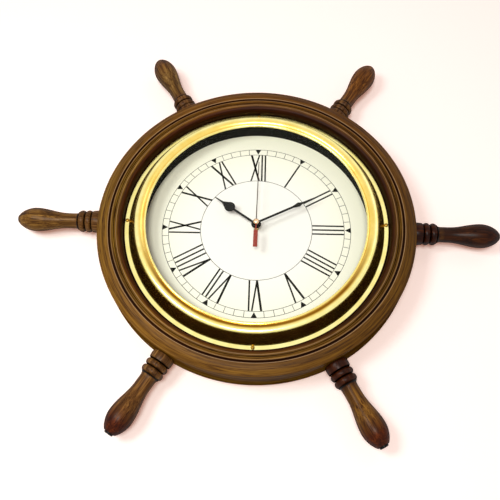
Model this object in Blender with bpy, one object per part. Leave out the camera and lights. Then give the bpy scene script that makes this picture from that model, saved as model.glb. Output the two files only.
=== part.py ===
"""Ship wheel wall clock: a turned wooden wheel rim with six handles round a brass-bezelled quartz clock.

Every piece is modelled in the clock's own frame: x to the right and y up on the dial, z towards the
viewer, with z = 0 on the wall.  One empty stands that frame up: dial facing -Y, twelve o'clock at +Z and
the origin on the nail that the hanger bracket rests on.
"""
import math

import bmesh
import bpy
from mathutils import Matrix, Vector

MM = 0.001

# Fits
SEAT_GAP = 0.3 * MM
RUNNING_CLEARANCE = 0.05 * MM
HOLE_CLEARANCE = 0.3 * MM

# Facets round a full turn
RIM_STEPS = 36
HANDLE_STEPS = 12
SCREW_STEPS = 8
SHAFT_STEPS = 8
BOSS_STEPS = 12

# Wooden wheel: rim and handles
RIM_WIDTH = 32.4 * MM
RIM_EDGE_ABOVE_DIAL = 24.7 * MM
RIM_CREST_RISE = 4.6 * MM
RIM_BACK_ROUND = 9.0 * MM
RIM_EDGE_ROUND = 1.5 * MM
BAND_CROWN = 1.2 * MM
GROOVE_WIDTH = 2.6 * MM
GROOVE_DEPTH = 3.6 * MM
FLAT_REED_WIDTH = 3.3 * MM
FINE_REED_WIDTH = 3.2 * MM
INNER_REED_WIDTH = 3.0 * MM
REED_NOTCH_DEPTH = 0.9 * MM
COVE_WIDTH = 5.2 * MM
RIM_JOINT_LEAD = 40.0
HANDLE_COUNT = 6
HANDLE_LEAD = -1.2
HANDLE_LENGTH = 107.0 * MM
HANDLE_HEIGHT = 24.5 * MM
HANDLE_BEAD_RADIUS = 14.2 * MM
HANDLE_BEAD_PITCH = 8.7 * MM
HANDLE_BEAD_GROOVE = 3.2 * MM
HANDLE_COLLAR_LENGTH = 10.2 * MM
HANDLE_NECK_RADIUS = 9.7 * MM
HANDLE_NECK_START = 33.6 * MM
HANDLE_NECK_END = 43.0 * MM
HANDLE_BULB_RADIUS = 15.1 * MM
HANDLE_BULB_PLACE = 84.0 * MM
HANDLE_NUB_RADIUS = 5.6 * MM
HANDLE_NUB_LENGTH = 2.2 * MM
TENON_RADIUS = 6.0 * MM
TENON_LENGTH = 16.0 * MM

# Dial, spacer, glass and brass bezel
DIAL_OPENING_RADIUS = 143.0 * MM
SPACER_WALL = 3.3 * MM
BORE_CLEARANCE = 0.7 * MM
DIAL_THICKNESS = 1.0 * MM
GLASS_ABOVE_DIAL = 27.5 * MM
GLASS_THICKNESS = 2.0 * MM
GLASS_OVERHANG = 3.8 * MM
BEZEL_SHEET = 1.0 * MM
BEZEL_SEAT_ABOVE_DIAL = 15.3 * MM
BEZEL_LIP_COVER = 4.1 * MM
BEZEL_LIP_DEPTH = 1.2 * MM
BEAD_WIDTH = 12.3 * MM
BEAD_RISE = 3.3 * MM
CONE_RUN = 8.1 * MM
FLANGE_WIDTH = 5.4 * MM
RECESS_CLEARANCE = 1.2 * MM
BEZEL_SCREW_COUNT = 4

# Backboard and its screws
BOARD_THICKNESS = 4.0 * MM
BOARD_SEAT_WIDTH = 8.4 * MM
BOARD_SCREW_COUNT = 4
SCREW_SHANK_RADIUS = 1.2 * MM
SCREW_LENGTH = 12.0 * MM
SCREW_HEAD_RADIUS = 2.4 * MM
SCREW_HEAD_HEIGHT = 1.6 * MM
SCREW_HEAD_MARGIN = 0.1 * MM

# Hanger bracket: screwed into the back of the rim, with its keyhole over the recess behind the backboard
HANGER_WIDTH = 30.0 * MM
HANGER_HEIGHT = 44.0 * MM
HANGER_THICKNESS = 2.0 * MM
HANGER_SCREW_SPACING = 16.0 * MM
HANGER_SCREW_INSET = 11.0 * MM
HANGER_HEAD_RADIUS = 3.4 * MM
KEYHOLE_RADIUS = 4.8 * MM
KEYHOLE_SLOT_RADIUS = 2.4 * MM
KEYHOLE_INSET = 15.0 * MM
KEYHOLE_DROP = 9.0 * MM

# Movement case, its cover and the nut that holds it to the backboard
CASE_SIDE = 56.0 * MM
CASE_DEPTH = 15.1 * MM
CASE_BACK_HEIGHT = 0.8 * MM
CASE_WALL = 1.0 * MM
COVER_THICKNESS = 1.6 * MM
PIVOT_DEPTH = 0.6 * MM
BUSH_RADIUS = 4.0 * MM
NUT_ACROSS_FLATS = 11.0 * MM
NUT_THICKNESS = 1.6 * MM
WASHER_RADIUS = 7.0 * MM
WASHER_THICKNESS = 0.4 * MM

# Gear train: pivots, arbors and the levels the wheels turn at
WHEEL_THICKNESS = 0.8 * MM
LEVEL_PITCH = 1.2 * MM
HOUR_WHEEL_FRONT_GAP = 0.4 * MM
PIVOT_RADIUS = 0.5 * MM
ARBOR_RADIUS = 0.6 * MM
SECONDS_ARBOR_RADIUS = 0.4 * MM
MINUTE_TUBE_RADIUS = 1.35 * MM
HOUR_PIPE_RADIUS = 2.5 * MM
STUD_RADIUS = 0.7 * MM
ROTOR_MAGNET_RADIUS = 2.8 * MM
ROTOR_MAGNET_LENGTH = 2.4 * MM

# Gear train: teeth, modules and directions of the centre lines in degrees
ROTOR_LEAVES = 6
INTERMEDIATE_TEETH = 30
INTERMEDIATE_LEAVES = 6
SECONDS_TEETH = 36
SECONDS_LEAVES = 6
THIRD_TEETH = 45
THIRD_LEAVES = 6
CENTRE_TEETH = 48
CANNON_LEAVES = 8
REVERSER_TEETH = 24
REVERSER_LEAVES = 8
HOUR_TEETH = 32
SETTING_LEAVES = 12
ROTOR_MODULE = 0.40 * MM
INTERMEDIATE_MODULE = 0.45 * MM
SECONDS_MODULE = 0.36 * MM
CANNON_MODULE = 0.50 * MM
INTERMEDIATE_DIRECTION = 180.0
ROTOR_DIRECTION = 130.0
THIRD_DIRECTION = 0.0
REVERSER_DIRECTION = 90.0
SETTING_DIRECTION = 45.0
ADDENDUM = 0.70
DEDENDUM = 1.10
WHEEL_TIP_SHARE = 0.20
LEAF_TIP_SHARE = 0.14
LEAF_ROOT_SHARE = 0.42

# Setting knob
KNOB_RADIUS = 4.2 * MM
KNOB_HEIGHT = 2.2 * MM
KNOB_FLUTES = 12
KNOB_FLUTE_DEPTH = 0.4 * MM

# Stepping motor, circuit board and battery
COIL_RADIUS = 3.2 * MM
COIL_LENGTH = 18.0 * MM
BOBBIN_CHEEK = 1.0 * MM
BOBBIN_CHEEK_RADIUS = 3.5 * MM
CORE_WIDTH = 3.0 * MM
CORE_THICKNESS = 1.2 * MM
CORE_OVERHANG = 4.0 * MM
STATOR_THICKNESS = 1.0 * MM
STATOR_DROP = 2.9 * MM
COIL_SIDE_GAP = 0.9 * MM
STATOR_BORE_GAP = 0.4 * MM
STATOR_POLE_WIDTH = 1.4 * MM
BOARD_PCB_THICKNESS = 1.0 * MM
PCB_LENGTH = 42.0 * MM
PCB_WIDTH = 8.2 * MM
CRYSTAL_RADIUS = 1.0 * MM
CRYSTAL_LENGTH = 6.0 * MM
BATTERY_RADIUS = 7.1 * MM
BATTERY_LENGTH = 50.2 * MM
BATTERY_TIP_RADIUS = 2.75 * MM
BATTERY_TIP_LENGTH = 1.0 * MM
BATTERY_SIDE_GAP = 0.4 * MM
BATTERY_BACK_HEIGHT = 0.4 * MM
CONTACT_THICKNESS = 0.3 * MM
CONTACT_WIDTH = 5.0 * MM
CONTACT_BOW = 1.0 * MM
CONTACT_RUN = 9.0 * MM

# Hands: heights above the dial, lengths and the time they show
HOUR_HAND_ABOVE_DIAL = 12.9 * MM
MINUTE_HAND_ABOVE_DIAL = 16.4 * MM
SECOND_HAND_ABOVE_DIAL = 19.9 * MM
HAND_THICKNESS = 0.5 * MM
HAND_COLLAR_HEIGHT = 1.2 * MM
HOUR_HAND_LENGTH = 65.5 * MM
HOUR_DISC_PLACE = 42.0 * MM
HOUR_DISC_RADIUS = 6.6 * MM
HOUR_STEM_WIDTH = 2.4 * MM
HOUR_BOSS_RADIUS = 5.9 * MM
MINUTE_HAND_LENGTH = 84.0 * MM
MINUTE_DISC_PLACE = 60.0 * MM
MINUTE_DISC_RADIUS = 2.9 * MM
MINUTE_STEM_WIDTH = 2.1 * MM
MINUTE_BOSS_RADIUS = 4.6 * MM
SECOND_HAND_LENGTH = 88.0 * MM
SECOND_STEM_WIDTH = 1.2 * MM
SECOND_BOSS_RADIUS = 3.2 * MM
SECOND_TAIL_START = 12.0 * MM
SECOND_TAIL_END = 35.0 * MM
SECOND_TAIL_WIDTH = 5.0 * MM
CAP_RADIUS = 3.7 * MM
CAP_HEIGHT = 2.4 * MM
TIME_HOUR = 10
TIME_MINUTE = 10.5
SECOND_HAND_ANGLE = 1.0

# Radii that follow from the sizes above
SPACER_RADIUS = DIAL_OPENING_RADIUS + SPACER_WALL
RIM_BORE_RADIUS = SPACER_RADIUS + BORE_CLEARANCE
GLASS_RADIUS = SPACER_RADIUS + GLASS_OVERHANG
BEAD_INNER_RADIUS = DIAL_OPENING_RADIUS - BEZEL_LIP_COVER
BEAD_OUTER_RADIUS = BEAD_INNER_RADIUS + BEAD_WIDTH
CONE_BASE_RADIUS = BEAD_OUTER_RADIUS + CONE_RUN
FLANGE_RADIUS = CONE_BASE_RADIUS + FLANGE_WIDTH
BEZEL_SCREW_RADIUS = FLANGE_RADIUS - SCREW_HEAD_RADIUS - SCREW_HEAD_MARGIN
RECESS_RADIUS = FLANGE_RADIUS + RECESS_CLEARANCE
RIM_RADIUS = RECESS_RADIUS + RIM_WIDTH
REBATE_RADIUS = RIM_BORE_RADIUS + BOARD_SEAT_WIDTH
BOARD_SCREW_RADIUS = RIM_BORE_RADIUS + BOARD_SEAT_WIDTH / 2
KEYHOLE_Y = REBATE_RADIUS - KEYHOLE_INSET
NAIL_RADIUS = KEYHOLE_Y + KEYHOLE_DROP + KEYHOLE_SLOT_RADIUS

# Heights above the wall that follow from the stack of pieces
CASE_FRONT = CASE_BACK_HEIGHT + CASE_DEPTH
BOARD_BACK = CASE_FRONT + SEAT_GAP
BOARD_FRONT = BOARD_BACK + BOARD_THICKNESS
DIAL_BACK = BOARD_FRONT + SEAT_GAP
DIAL_FACE = DIAL_BACK + DIAL_THICKNESS
RIM_EDGE_HEIGHT = DIAL_FACE + RIM_EDGE_ABOVE_DIAL
BEZEL_SEAT = DIAL_FACE + BEZEL_SEAT_ABOVE_DIAL
FLANGE_TOP = BEZEL_SEAT + SEAT_GAP + BEZEL_SHEET
GLASS_BACK = DIAL_FACE + GLASS_ABOVE_DIAL
GLASS_FRONT = GLASS_BACK + GLASS_THICKNESS
LIP_BOTTOM = GLASS_FRONT + SEAT_GAP
BEAD_BASE = LIP_BOTTOM + BEZEL_LIP_DEPTH
NUT_FRONT = BOARD_FRONT
NUT_BACK = NUT_FRONT - NUT_THICKNESS
WASHER_BACK = NUT_BACK - SEAT_GAP - WASHER_THICKNESS
SHELL_INSIDE = CASE_FRONT - CASE_WALL
COVER_FRONT = CASE_BACK_HEIGHT + COVER_THICKNESS
HOUR_LEVEL = SHELL_INSIDE - HOUR_WHEEL_FRONT_GAP - WHEEL_THICKNESS
CANNON_LEVEL = HOUR_LEVEL - LEVEL_PITCH
CENTRE_LEVEL = CANNON_LEVEL - LEVEL_PITCH
THIRD_LEVEL = CENTRE_LEVEL - LEVEL_PITCH
SECONDS_LEVEL = THIRD_LEVEL - LEVEL_PITCH
INTERMEDIATE_LEVEL = SECONDS_LEVEL - LEVEL_PITCH
PINION_OVERLAP = (LEVEL_PITCH - WHEEL_THICKNESS) / 2
HOUR_HAND_HEIGHT = DIAL_FACE + HOUR_HAND_ABOVE_DIAL
MINUTE_HAND_HEIGHT = DIAL_FACE + MINUTE_HAND_ABOVE_DIAL
SECOND_HAND_HEIGHT = DIAL_FACE + SECOND_HAND_ABOVE_DIAL


def polar(radius, degrees, centre=(0.0, 0.0)):
    angle = math.radians(degrees)
    return (centre[0] + radius * math.cos(angle), centre[1] + radius * math.sin(angle))


def centre_distance(first_teeth, second_teeth, module):
    return (first_teeth + second_teeth) * module / 2


# Places of the arbors on the dial plane
CENTRE = (0.0, 0.0)
THIRD_DISTANCE = centre_distance(SECONDS_LEAVES, THIRD_TEETH, SECONDS_MODULE)
CENTRE_MODULE = 2 * THIRD_DISTANCE / (THIRD_LEAVES + CENTRE_TEETH)
REVERSER_DISTANCE = centre_distance(CANNON_LEAVES, REVERSER_TEETH, CANNON_MODULE)
HOUR_MODULE = 2 * REVERSER_DISTANCE / (REVERSER_LEAVES + HOUR_TEETH)
INTERMEDIATE_DISTANCE = centre_distance(INTERMEDIATE_LEAVES, SECONDS_TEETH, INTERMEDIATE_MODULE)
ROTOR_DISTANCE = centre_distance(ROTOR_LEAVES, INTERMEDIATE_TEETH, ROTOR_MODULE)
SETTING_DISTANCE = centre_distance(SETTING_LEAVES, REVERSER_TEETH, CANNON_MODULE)
INTERMEDIATE_PLACE = polar(INTERMEDIATE_DISTANCE, INTERMEDIATE_DIRECTION)
ROTOR_PLACE = polar(ROTOR_DISTANCE, ROTOR_DIRECTION, INTERMEDIATE_PLACE)
THIRD_PLACE = polar(THIRD_DISTANCE, THIRD_DIRECTION)
REVERSER_PLACE = polar(REVERSER_DISTANCE, REVERSER_DIRECTION)
SETTING_PLACE = polar(SETTING_DISTANCE, SETTING_DIRECTION, REVERSER_PLACE)

# Battery bay: below the gears, behind its own wall
CASE_HALF = CASE_SIDE / 2
BAY_BOTTOM = -CASE_HALF + CASE_WALL
BAY_TOP = BAY_BOTTOM + 2 * (BATTERY_RADIUS + BATTERY_SIDE_GAP)
GEAR_ROOM_BOTTOM = BAY_TOP + CASE_WALL
BATTERY_PLACE = (0.0, (BAY_BOTTOM + BAY_TOP) / 2)
BATTERY_HEIGHT = BATTERY_BACK_HEIGHT + BATTERY_RADIUS

# Stepping motor: stator plate below the coil's core, coil beside the rotor
STATOR_BACK = INTERMEDIATE_LEVEL - PINION_OVERLAP - STATOR_DROP
CORE_BACK = STATOR_BACK + STATOR_THICKNESS + SEAT_GAP
COIL_HEIGHT = CORE_BACK + CORE_THICKNESS / 2
COIL_X = COIL_SIDE_GAP + BOBBIN_CHEEK_RADIUS + CASE_WALL - CASE_HALF
COIL_Y = ROTOR_PLACE[1]


# Scene and shading

def clear_scene():
    for item in list(bpy.data.objects):
        bpy.data.objects.remove(item, do_unlink=True)


def material(name, colour, roughness, metallic=0.0, alpha=1.0):
    """Principled material from an sRGB hex colour."""
    value = bpy.data.materials.new(name)
    value.use_nodes = True
    shader = value.node_tree.nodes["Principled BSDF"]
    channels = [int(colour[i:i + 2], 16) / 255 for i in (1, 3, 5)]
    linear = [c / 12.92 if c <= 0.04045 else ((c + 0.055) / 1.055) ** 2.4 for c in channels]
    shader.inputs["Base Color"].default_value = (*linear, 1.0)
    shader.inputs["Roughness"].default_value = roughness
    shader.inputs["Metallic"].default_value = metallic
    shader.inputs["Alpha"].default_value = alpha
    value.diffuse_color = (*linear, alpha)
    return value


def place(name, mesh, finish, position=(0.0, 0.0, 0.0), turn=0.0, smooth=True):
    """Put a mesh into the clock's frame as one named object, turned about its own z axis."""
    mesh.name = name
    item = bpy.data.objects.new(name, mesh)
    bpy.context.scene.collection.objects.link(item)
    item.parent = CLOCK_FRAME
    item.location = position
    item.rotation_euler = (0.0, 0.0, math.radians(turn))
    mesh.materials.clear()
    mesh.materials.append(finish)
    if smooth:
        mesh.shade_smooth()
        mesh.set_sharp_from_angle(angle=math.radians(32))
    return item


def boolean(item, operation, tools):
    """Cut or join the item with guide meshes that are left out of the model."""
    for number, mesh in enumerate(tools):
        guide = bpy.data.objects.new(f"{item.name}_{operation.lower()}_{number}", mesh)
        bpy.context.scene.collection.objects.link(guide)
        guide.parent = item.parent
        guide.location = item.location
        guide.rotation_euler = item.rotation_euler
        guide.hide_render = True
        guide.display_type = "WIRE"
        step = item.modifiers.new(guide.name, "BOOLEAN")
        step.operation = operation
        step.object = guide
        step.solver = "EXACT"


# Meshes

def finish_mesh(bm):
    bmesh.ops.remove_doubles(bm, verts=bm.verts, dist=1e-7)
    bmesh.ops.recalc_face_normals(bm, faces=bm.faces)
    mesh = bpy.data.meshes.new("shape")
    bm.to_mesh(mesh)
    bm.free()
    return mesh


def lathe(profile, steps, closed=False):
    """Turn a profile of (radius, height) points about z; an open profile starts and ends on the axis."""
    bm = bmesh.new()
    points = [bm.verts.new((radius, 0.0, height)) for radius, height in profile]
    edges = [bm.edges.new(pair) for pair in zip(points, points[1:])]
    if closed:
        edges.append(bm.edges.new((points[-1], points[0])))
    bmesh.ops.spin(bm, geom=points + edges, cent=(0, 0, 0), axis=(0, 0, 1), dvec=(0, 0, 0),
                   angle=2 * math.pi, steps=steps, use_merge=True, use_duplicate=False)
    return finish_mesh(bm)


def turned_segment(profile, steps, start, sweep, gap):
    """Part of a turned ring, its flat end faces each set back by half the gap; angles in degrees."""
    bm = bmesh.new()
    loops = []
    for i in range(steps + 1):
        angle = math.radians(start + sweep * i / steps)
        outward = Vector((math.cos(angle), math.sin(angle), 0.0))
        inset = Vector((-outward.y, outward.x, 0.0)) * gap / 2 * ((i == 0) - (i == steps))
        loops.append([bm.verts.new(outward * radius + Vector((0.0, 0.0, height)) + inset)
                      for radius, height in profile])
    for near, far in zip(loops, loops[1:]):
        for i, corner in enumerate(near):
            bm.faces.new((near[i - 1], corner, far[i], far[i - 1]))
    bm.faces.new(loops[0])
    bm.faces.new(loops[-1])
    return finish_mesh(bm)


def stack(sections, bore=None):
    """One solid of flat slices, rear to front: each section is (outline, bottom, top).

    Neighbouring outlines lie inside one another, and a bore outline runs through all of them.
    """
    bm = bmesh.new()

    def loop_at(outline, height):
        return [bm.verts.new((x, y, height)) for x, y in outline]

    def wall(lower, upper):
        for i, corner in enumerate(lower):
            bm.faces.new((lower[i - 1], corner, upper[i], upper[i - 1]))

    def fill(loops):
        pairs = [(loop[i - 1], loop[i]) for loop in loops for i in range(len(loop))]
        edges = [bm.edges.get(pair) or bm.edges.new(pair) for pair in pairs]
        bmesh.ops.triangle_fill(bm, use_beauty=True, edges=edges, normal=(0, 0, 1))

    walls = [(loop_at(outline, low), loop_at(outline, high)) for outline, low, high in sections]
    for lower, upper in walls:
        wall(lower, upper)
    for (_, below), (above, _) in zip(walls, walls[1:]):
        fill([below, above])
    rear, front = [walls[0][0]], [walls[-1][1]]
    if bore:
        inner = (loop_at(bore, sections[0][1]), loop_at(bore, sections[-1][2]))
        wall(*inner)
        rear.append(inner[0])
        front.append(inner[1])
    fill(rear)
    fill(front)
    return finish_mesh(bm)


def block(x_range, y_range, z_range):
    """A plain cuboid between the given limits."""
    corners = [(x_range[0], y_range[0]), (x_range[1], y_range[0]),
               (x_range[1], y_range[1]), (x_range[0], y_range[1])]
    return stack([(corners, *z_range)])


def merged(meshes):
    """Several separate bodies in one mesh, for a guide that cuts many places at once."""
    bm = bmesh.new()
    for mesh in meshes:
        bm.from_mesh(mesh)
    mesh = bpy.data.meshes.new("guides")
    bm.to_mesh(mesh)
    bm.free()
    return mesh


def moved(mesh, matrix):
    mesh.transform(matrix)
    return mesh


# Outlines

def circle(radius, sides, centre=(0.0, 0.0)):
    return [polar(radius, 360 * i / sides, centre) for i in range(sides)]


def bore_radius(shaft_radius, clearance, sides):
    """Corner radius of a faceted hole whose flats clear the shaft's corners."""
    return (shaft_radius + clearance) / math.cos(math.pi / sides)


def arc(centre, radius, start, end, steps):
    return [polar(radius, start + (end - start) * i / steps, centre) for i in range(steps + 1)]


def wheel_outline(teeth, module):
    """Wheel teeth as flat tips over sharp gaps, with a tooth centred on +x."""
    tip = (teeth / 2 + ADDENDUM) * module
    root = (teeth / 2 - DEDENDUM) * module
    half = 360 * WHEEL_TIP_SHARE / teeth / 2
    points = []
    for i in range(teeth):
        middle = 360 * i / teeth
        points += [polar(tip, middle - half), polar(tip, middle + half)]
        points.append(polar(root, middle + 180 / teeth))
    return points


def pinion_outline(leaves, module):
    """Pinion leaves with a flat root between them and a leaf centred on +x."""
    tip = (leaves / 2 + ADDENDUM) * module
    root = (leaves / 2 - DEDENDUM) * module
    points = []
    for i in range(leaves):
        middle = 360 * i / leaves
        for radius, share in ((root, -LEAF_ROOT_SHARE), (tip, -LEAF_TIP_SHARE),
                              (tip, LEAF_TIP_SHARE), (root, LEAF_ROOT_SHARE)):
            points.append(polar(radius, middle + 360 * share / leaves / 2))
    return points


def meshing_turn(driver_turn, driver_teeth, driven_teeth, direction):
    """Turn of a wheel whose gap faces the driver's tooth along the line of centres."""
    ratio = driver_teeth / driven_teeth
    return direction + 180 + (direction - driver_turn) * ratio + 180 / driven_teeth


# Wheel rim

def groove_profile(outer_radius, height):
    """The deep groove between the outer band and the reeds."""
    middle = outer_radius - GROOVE_WIDTH / 2
    return [(outer_radius, height), (middle, height - GROOVE_DEPTH), (outer_radius - GROOVE_WIDTH, height)]


def reed_profile(outer_radius, height):
    """Reeds inside the groove, parted by fine notches, and the inner band that slopes to the cove."""
    points = []
    radius = outer_radius
    for width in (FLAT_REED_WIDTH, FINE_REED_WIDTH):
        radius -= width
        points += [(radius + width / 3, height), (radius, height - REED_NOTCH_DEPTH)]
    points.append((radius - INNER_REED_WIDTH, height - 2 * REED_NOTCH_DEPTH))
    return points


def rim_profile():
    """Section of the rim, from the back face round the outside to the bezel seat and the board rebate."""
    crest = RIM_EDGE_HEIGHT + RIM_CREST_RISE
    reeds_width = FLAT_REED_WIDTH + FINE_REED_WIDTH + INNER_REED_WIDTH
    cove_outer = RECESS_RADIUS + COVE_WIDTH
    groove_outer = cove_outer + reeds_width + GROOVE_WIDTH
    round_centre = (RIM_RADIUS - RIM_BACK_ROUND, RIM_BACK_ROUND)
    points = [(REBATE_RADIUS, 0.0)]
    points += arc(round_centre, RIM_BACK_ROUND, -90, 0, 2)
    points += [(RIM_RADIUS, RIM_EDGE_HEIGHT - RIM_EDGE_ROUND),
               (RIM_RADIUS - RIM_EDGE_ROUND, RIM_EDGE_HEIGHT)]
    band_start = RIM_RADIUS - RIM_EDGE_ROUND
    points.append(((band_start + groove_outer) / 2, RIM_EDGE_HEIGHT + RIM_CREST_RISE / 2 + BAND_CROWN))
    points += groove_profile(groove_outer, crest)
    points += reed_profile(groove_outer - GROOVE_WIDTH, crest)
    cove_top = points[-1][1]
    cove_drop = cove_top - BEZEL_SEAT
    points += [(RECESS_RADIUS + COVE_WIDTH * (1 - math.sin(math.radians(a))),
                BEZEL_SEAT + cove_drop * math.cos(math.radians(a))) for a in (30, 65, 90)]
    points += [(RIM_BORE_RADIUS, BEZEL_SEAT), (RIM_BORE_RADIUS, DIAL_BACK), (REBATE_RADIUS, DIAL_BACK)]
    return points


def spots_between(spots, start, sweep):
    """The spots that lie in the sector from start over sweep, in degrees."""
    return [spot for spot in spots if (math.degrees(math.atan2(spot[1], spot[0])) - start) % 360 < sweep]


def handle_angles():
    return [HANDLE_LEAD + 360 * i / HANDLE_COUNT for i in range(HANDLE_COUNT)]


def handle_matrix(degrees):
    """Lay a handle turned about z along its spoke direction, with its foot on the rim's edge."""
    foot = Vector((*polar(RIM_RADIUS, degrees), HANDLE_HEIGHT))
    return Matrix.Translation(foot) @ Matrix.Rotation(math.radians(degrees), 4, "Z") @ Matrix.Rotation(
        math.radians(90), 4, "Y")


def drilled(radius, depth, sides, position, height, overshoot):
    """Guide for a hole along z, from just outside the surface down to its blind end."""
    return stack([(circle(radius, sides, position), height - depth, height + overshoot)])


def make_rim(finish):
    """One segment for each handle, glued end to end with flat butt joints and turned as one ring."""
    sweep = 360 / HANDLE_COUNT
    pilot = SCREW_SHANK_RADIUS + HOLE_CLEARANCE
    tenon = circle(TENON_RADIUS + HOLE_CLEARANCE, HANDLE_STEPS)
    for number, degrees in enumerate(handle_angles(), 1):
        start = degrees - RIM_JOINT_LEAD
        mesh = turned_segment(rim_profile(), RIM_STEPS // HANDLE_COUNT, start, sweep, SEAT_GAP)
        segment = place(f"rim_segment_{number}", mesh, finish)
        tenon_hole = stack([(tenon, -TENON_LENGTH - SEAT_GAP, 2 * TENON_RADIUS)])
        holes = [moved(tenon_hole, handle_matrix(degrees))]
        holes += [drilled(pilot, SCREW_LENGTH, SCREW_STEPS, spot, BEZEL_SEAT, MM)
                  for spot in spots_between(bezel_screw_spots(), start, sweep)]
        holes += [stack([(circle(pilot, SCREW_STEPS, spot), DIAL_BACK - MM, BOARD_BACK + SCREW_LENGTH)])
                  for spot in spots_between(board_screw_spots(), start, sweep)]
        cuts = [merged(holes)]
        if spots_between(hanger_screw_spots(), start, sweep):
            cuts += [hanger_rebate(), merged(hanger_pilots())]
        boolean(segment, "DIFFERENCE", cuts)


# Hanger bracket

def keyhole_outline(head_radius, slot_radius):
    """Round entry below, slot above, its top end where the nail rests."""
    entry = (0.0, KEYHOLE_Y)
    slot = (0.0, KEYHOLE_Y + KEYHOLE_DROP)
    open_angle = math.degrees(math.acos(slot_radius / head_radius))
    top = arc(slot, slot_radius, 0, 180, 6)
    return top + arc(entry, head_radius, 180 - open_angle, 360 + open_angle, 12)


def hanger_screw_spots():
    return [(side * HANGER_SCREW_SPACING / 2, REBATE_RADIUS + HANGER_SCREW_INSET) for side in (-1, 1)]


def countersink(spot, allowance):
    """Countersunk wood screw, or the guide for its hole when an allowance widens it."""
    head = HANGER_HEAD_RADIUS + allowance
    shank = SCREW_SHANK_RADIUS + allowance
    rim = SEAT_GAP / 2 + allowance
    end = HANGER_THICKNESS + SCREW_LENGTH + allowance
    profile = [(head, rim), (shank, HANGER_THICKNESS), (shank, end), (0.0, end)]
    if allowance:
        profile = [(0.0, -MM), (head, -MM)] + profile
    else:
        profile = [(0.0, rim)] + profile
    return moved(lathe(profile, SCREW_STEPS), Matrix.Translation((*spot, 0.0)))


def hanger_rebate():
    """Shallow seat for the plate, open towards the recess behind the backboard."""
    half_width = HANGER_WIDTH / 2 + HOLE_CLEARANCE
    low = RIM_BORE_RADIUS
    high = REBATE_RADIUS + HANGER_HEIGHT / 2 + HOLE_CLEARANCE
    return block((-half_width, half_width), (low, high), (-MM, HANGER_THICKNESS + SEAT_GAP))


def hanger_pilots():
    pilot = SCREW_SHANK_RADIUS + HOLE_CLEARANCE
    end = HANGER_THICKNESS + SCREW_LENGTH + SEAT_GAP
    return [stack([(circle(pilot, SCREW_STEPS, spot), HANGER_THICKNESS, end)])
            for spot in hanger_screw_spots()]


def make_hanger(plate_finish, screw_finish):
    half, low = HANGER_WIDTH / 2, REBATE_RADIUS - HANGER_HEIGHT / 2
    outline = [(-half, low), (half, low), (half, low + HANGER_HEIGHT), (-half, low + HANGER_HEIGHT)]
    plate = place("hanger_bracket", stack([(outline, 0.0, HANGER_THICKNESS)],
                                        keyhole_outline(KEYHOLE_RADIUS, KEYHOLE_SLOT_RADIUS)), plate_finish)
    screw_holes = [countersink(spot, HOLE_CLEARANCE) for spot in hanger_screw_spots()]
    boolean(plate, "DIFFERENCE", [merged(screw_holes)])
    for number, spot in enumerate(hanger_screw_spots(), 1):
        place(f"hanger_screw_{number}", countersink(spot, 0.0), screw_finish)


# Handles

def handle_profile():
    """Turned handle from the tenon's end to the nub: collar, two beads, neck and bulb."""
    bead = HANDLE_BEAD_RADIUS
    valley = bead - HANDLE_BEAD_GROOVE
    points = [(0.0, -TENON_LENGTH), (TENON_RADIUS, -TENON_LENGTH), (TENON_RADIUS, SEAT_GAP)]
    points += [(bead - 0.8 * MM, SEAT_GAP), (bead, HANDLE_COLLAR_LENGTH * 0.4),
               (bead - 0.6 * MM, HANDLE_COLLAR_LENGTH), (valley, HANDLE_COLLAR_LENGTH + MM)]
    for number in (1, 2):
        start = HANDLE_COLLAR_LENGTH + 1.2 * MM + (number - 1) * HANDLE_BEAD_PITCH
        middle = start + HANDLE_BEAD_PITCH / 2 - 0.3 * MM
        points += [(bead - 0.4 * MM, start + 1.6 * MM), (bead - 0.4 * MM, 2 * middle - start - 1.6 * MM)]
        if number == 1:
            points.append((valley, start + HANDLE_BEAD_PITCH - 0.3 * MM))
    points.append((HANDLE_NECK_RADIUS + 1.6 * MM, HANDLE_NECK_START - 2.6 * MM))
    points.append((HANDLE_NECK_RADIUS, HANDLE_NECK_START))
    swell = HANDLE_BULB_PLACE - HANDLE_NECK_END
    for share in (0.0, 0.35, 0.7, 1.0):
        blend = (1 - math.cos(math.pi * share)) / 2
        points.append((HANDLE_NECK_RADIUS + (HANDLE_BULB_RADIUS - HANDLE_NECK_RADIUS) * blend,
                       HANDLE_NECK_END + swell * share))
    dome = HANDLE_LENGTH - HANDLE_NUB_LENGTH - HANDLE_BULB_PLACE
    shoulder = math.degrees(math.acos((HANDLE_NUB_RADIUS + 1.4 * MM) / HANDLE_BULB_RADIUS))
    for share in (0.6, 1.0):
        angle = math.radians(shoulder * share)
        points.append((HANDLE_BULB_RADIUS * math.cos(angle),
                       HANDLE_BULB_PLACE + dome * math.sin(angle) / math.sin(math.radians(shoulder))))
    points += [(HANDLE_NUB_RADIUS, HANDLE_LENGTH - HANDLE_NUB_LENGTH),
               (HANDLE_NUB_RADIUS * 0.8, HANDLE_LENGTH), (0.0, HANDLE_LENGTH)]
    return points


def make_handles(finish):
    mesh = lathe(handle_profile(), HANDLE_STEPS)
    for number, degrees in enumerate(handle_angles(), 1):
        handle = place(f"handle_{number}", mesh, finish)
        handle.matrix_local = handle_matrix(degrees)


# Bezel, glass, spacer, dial and backboard

def bezel_screw_spots():
    return [polar(BEZEL_SCREW_RADIUS, 90 + 360 * i / BEZEL_SCREW_COUNT) for i in range(BEZEL_SCREW_COUNT)]


def board_screw_spots():
    return [polar(BOARD_SCREW_RADIUS, 45 + 360 * i / BOARD_SCREW_COUNT) for i in range(BOARD_SCREW_COUNT)]


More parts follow.
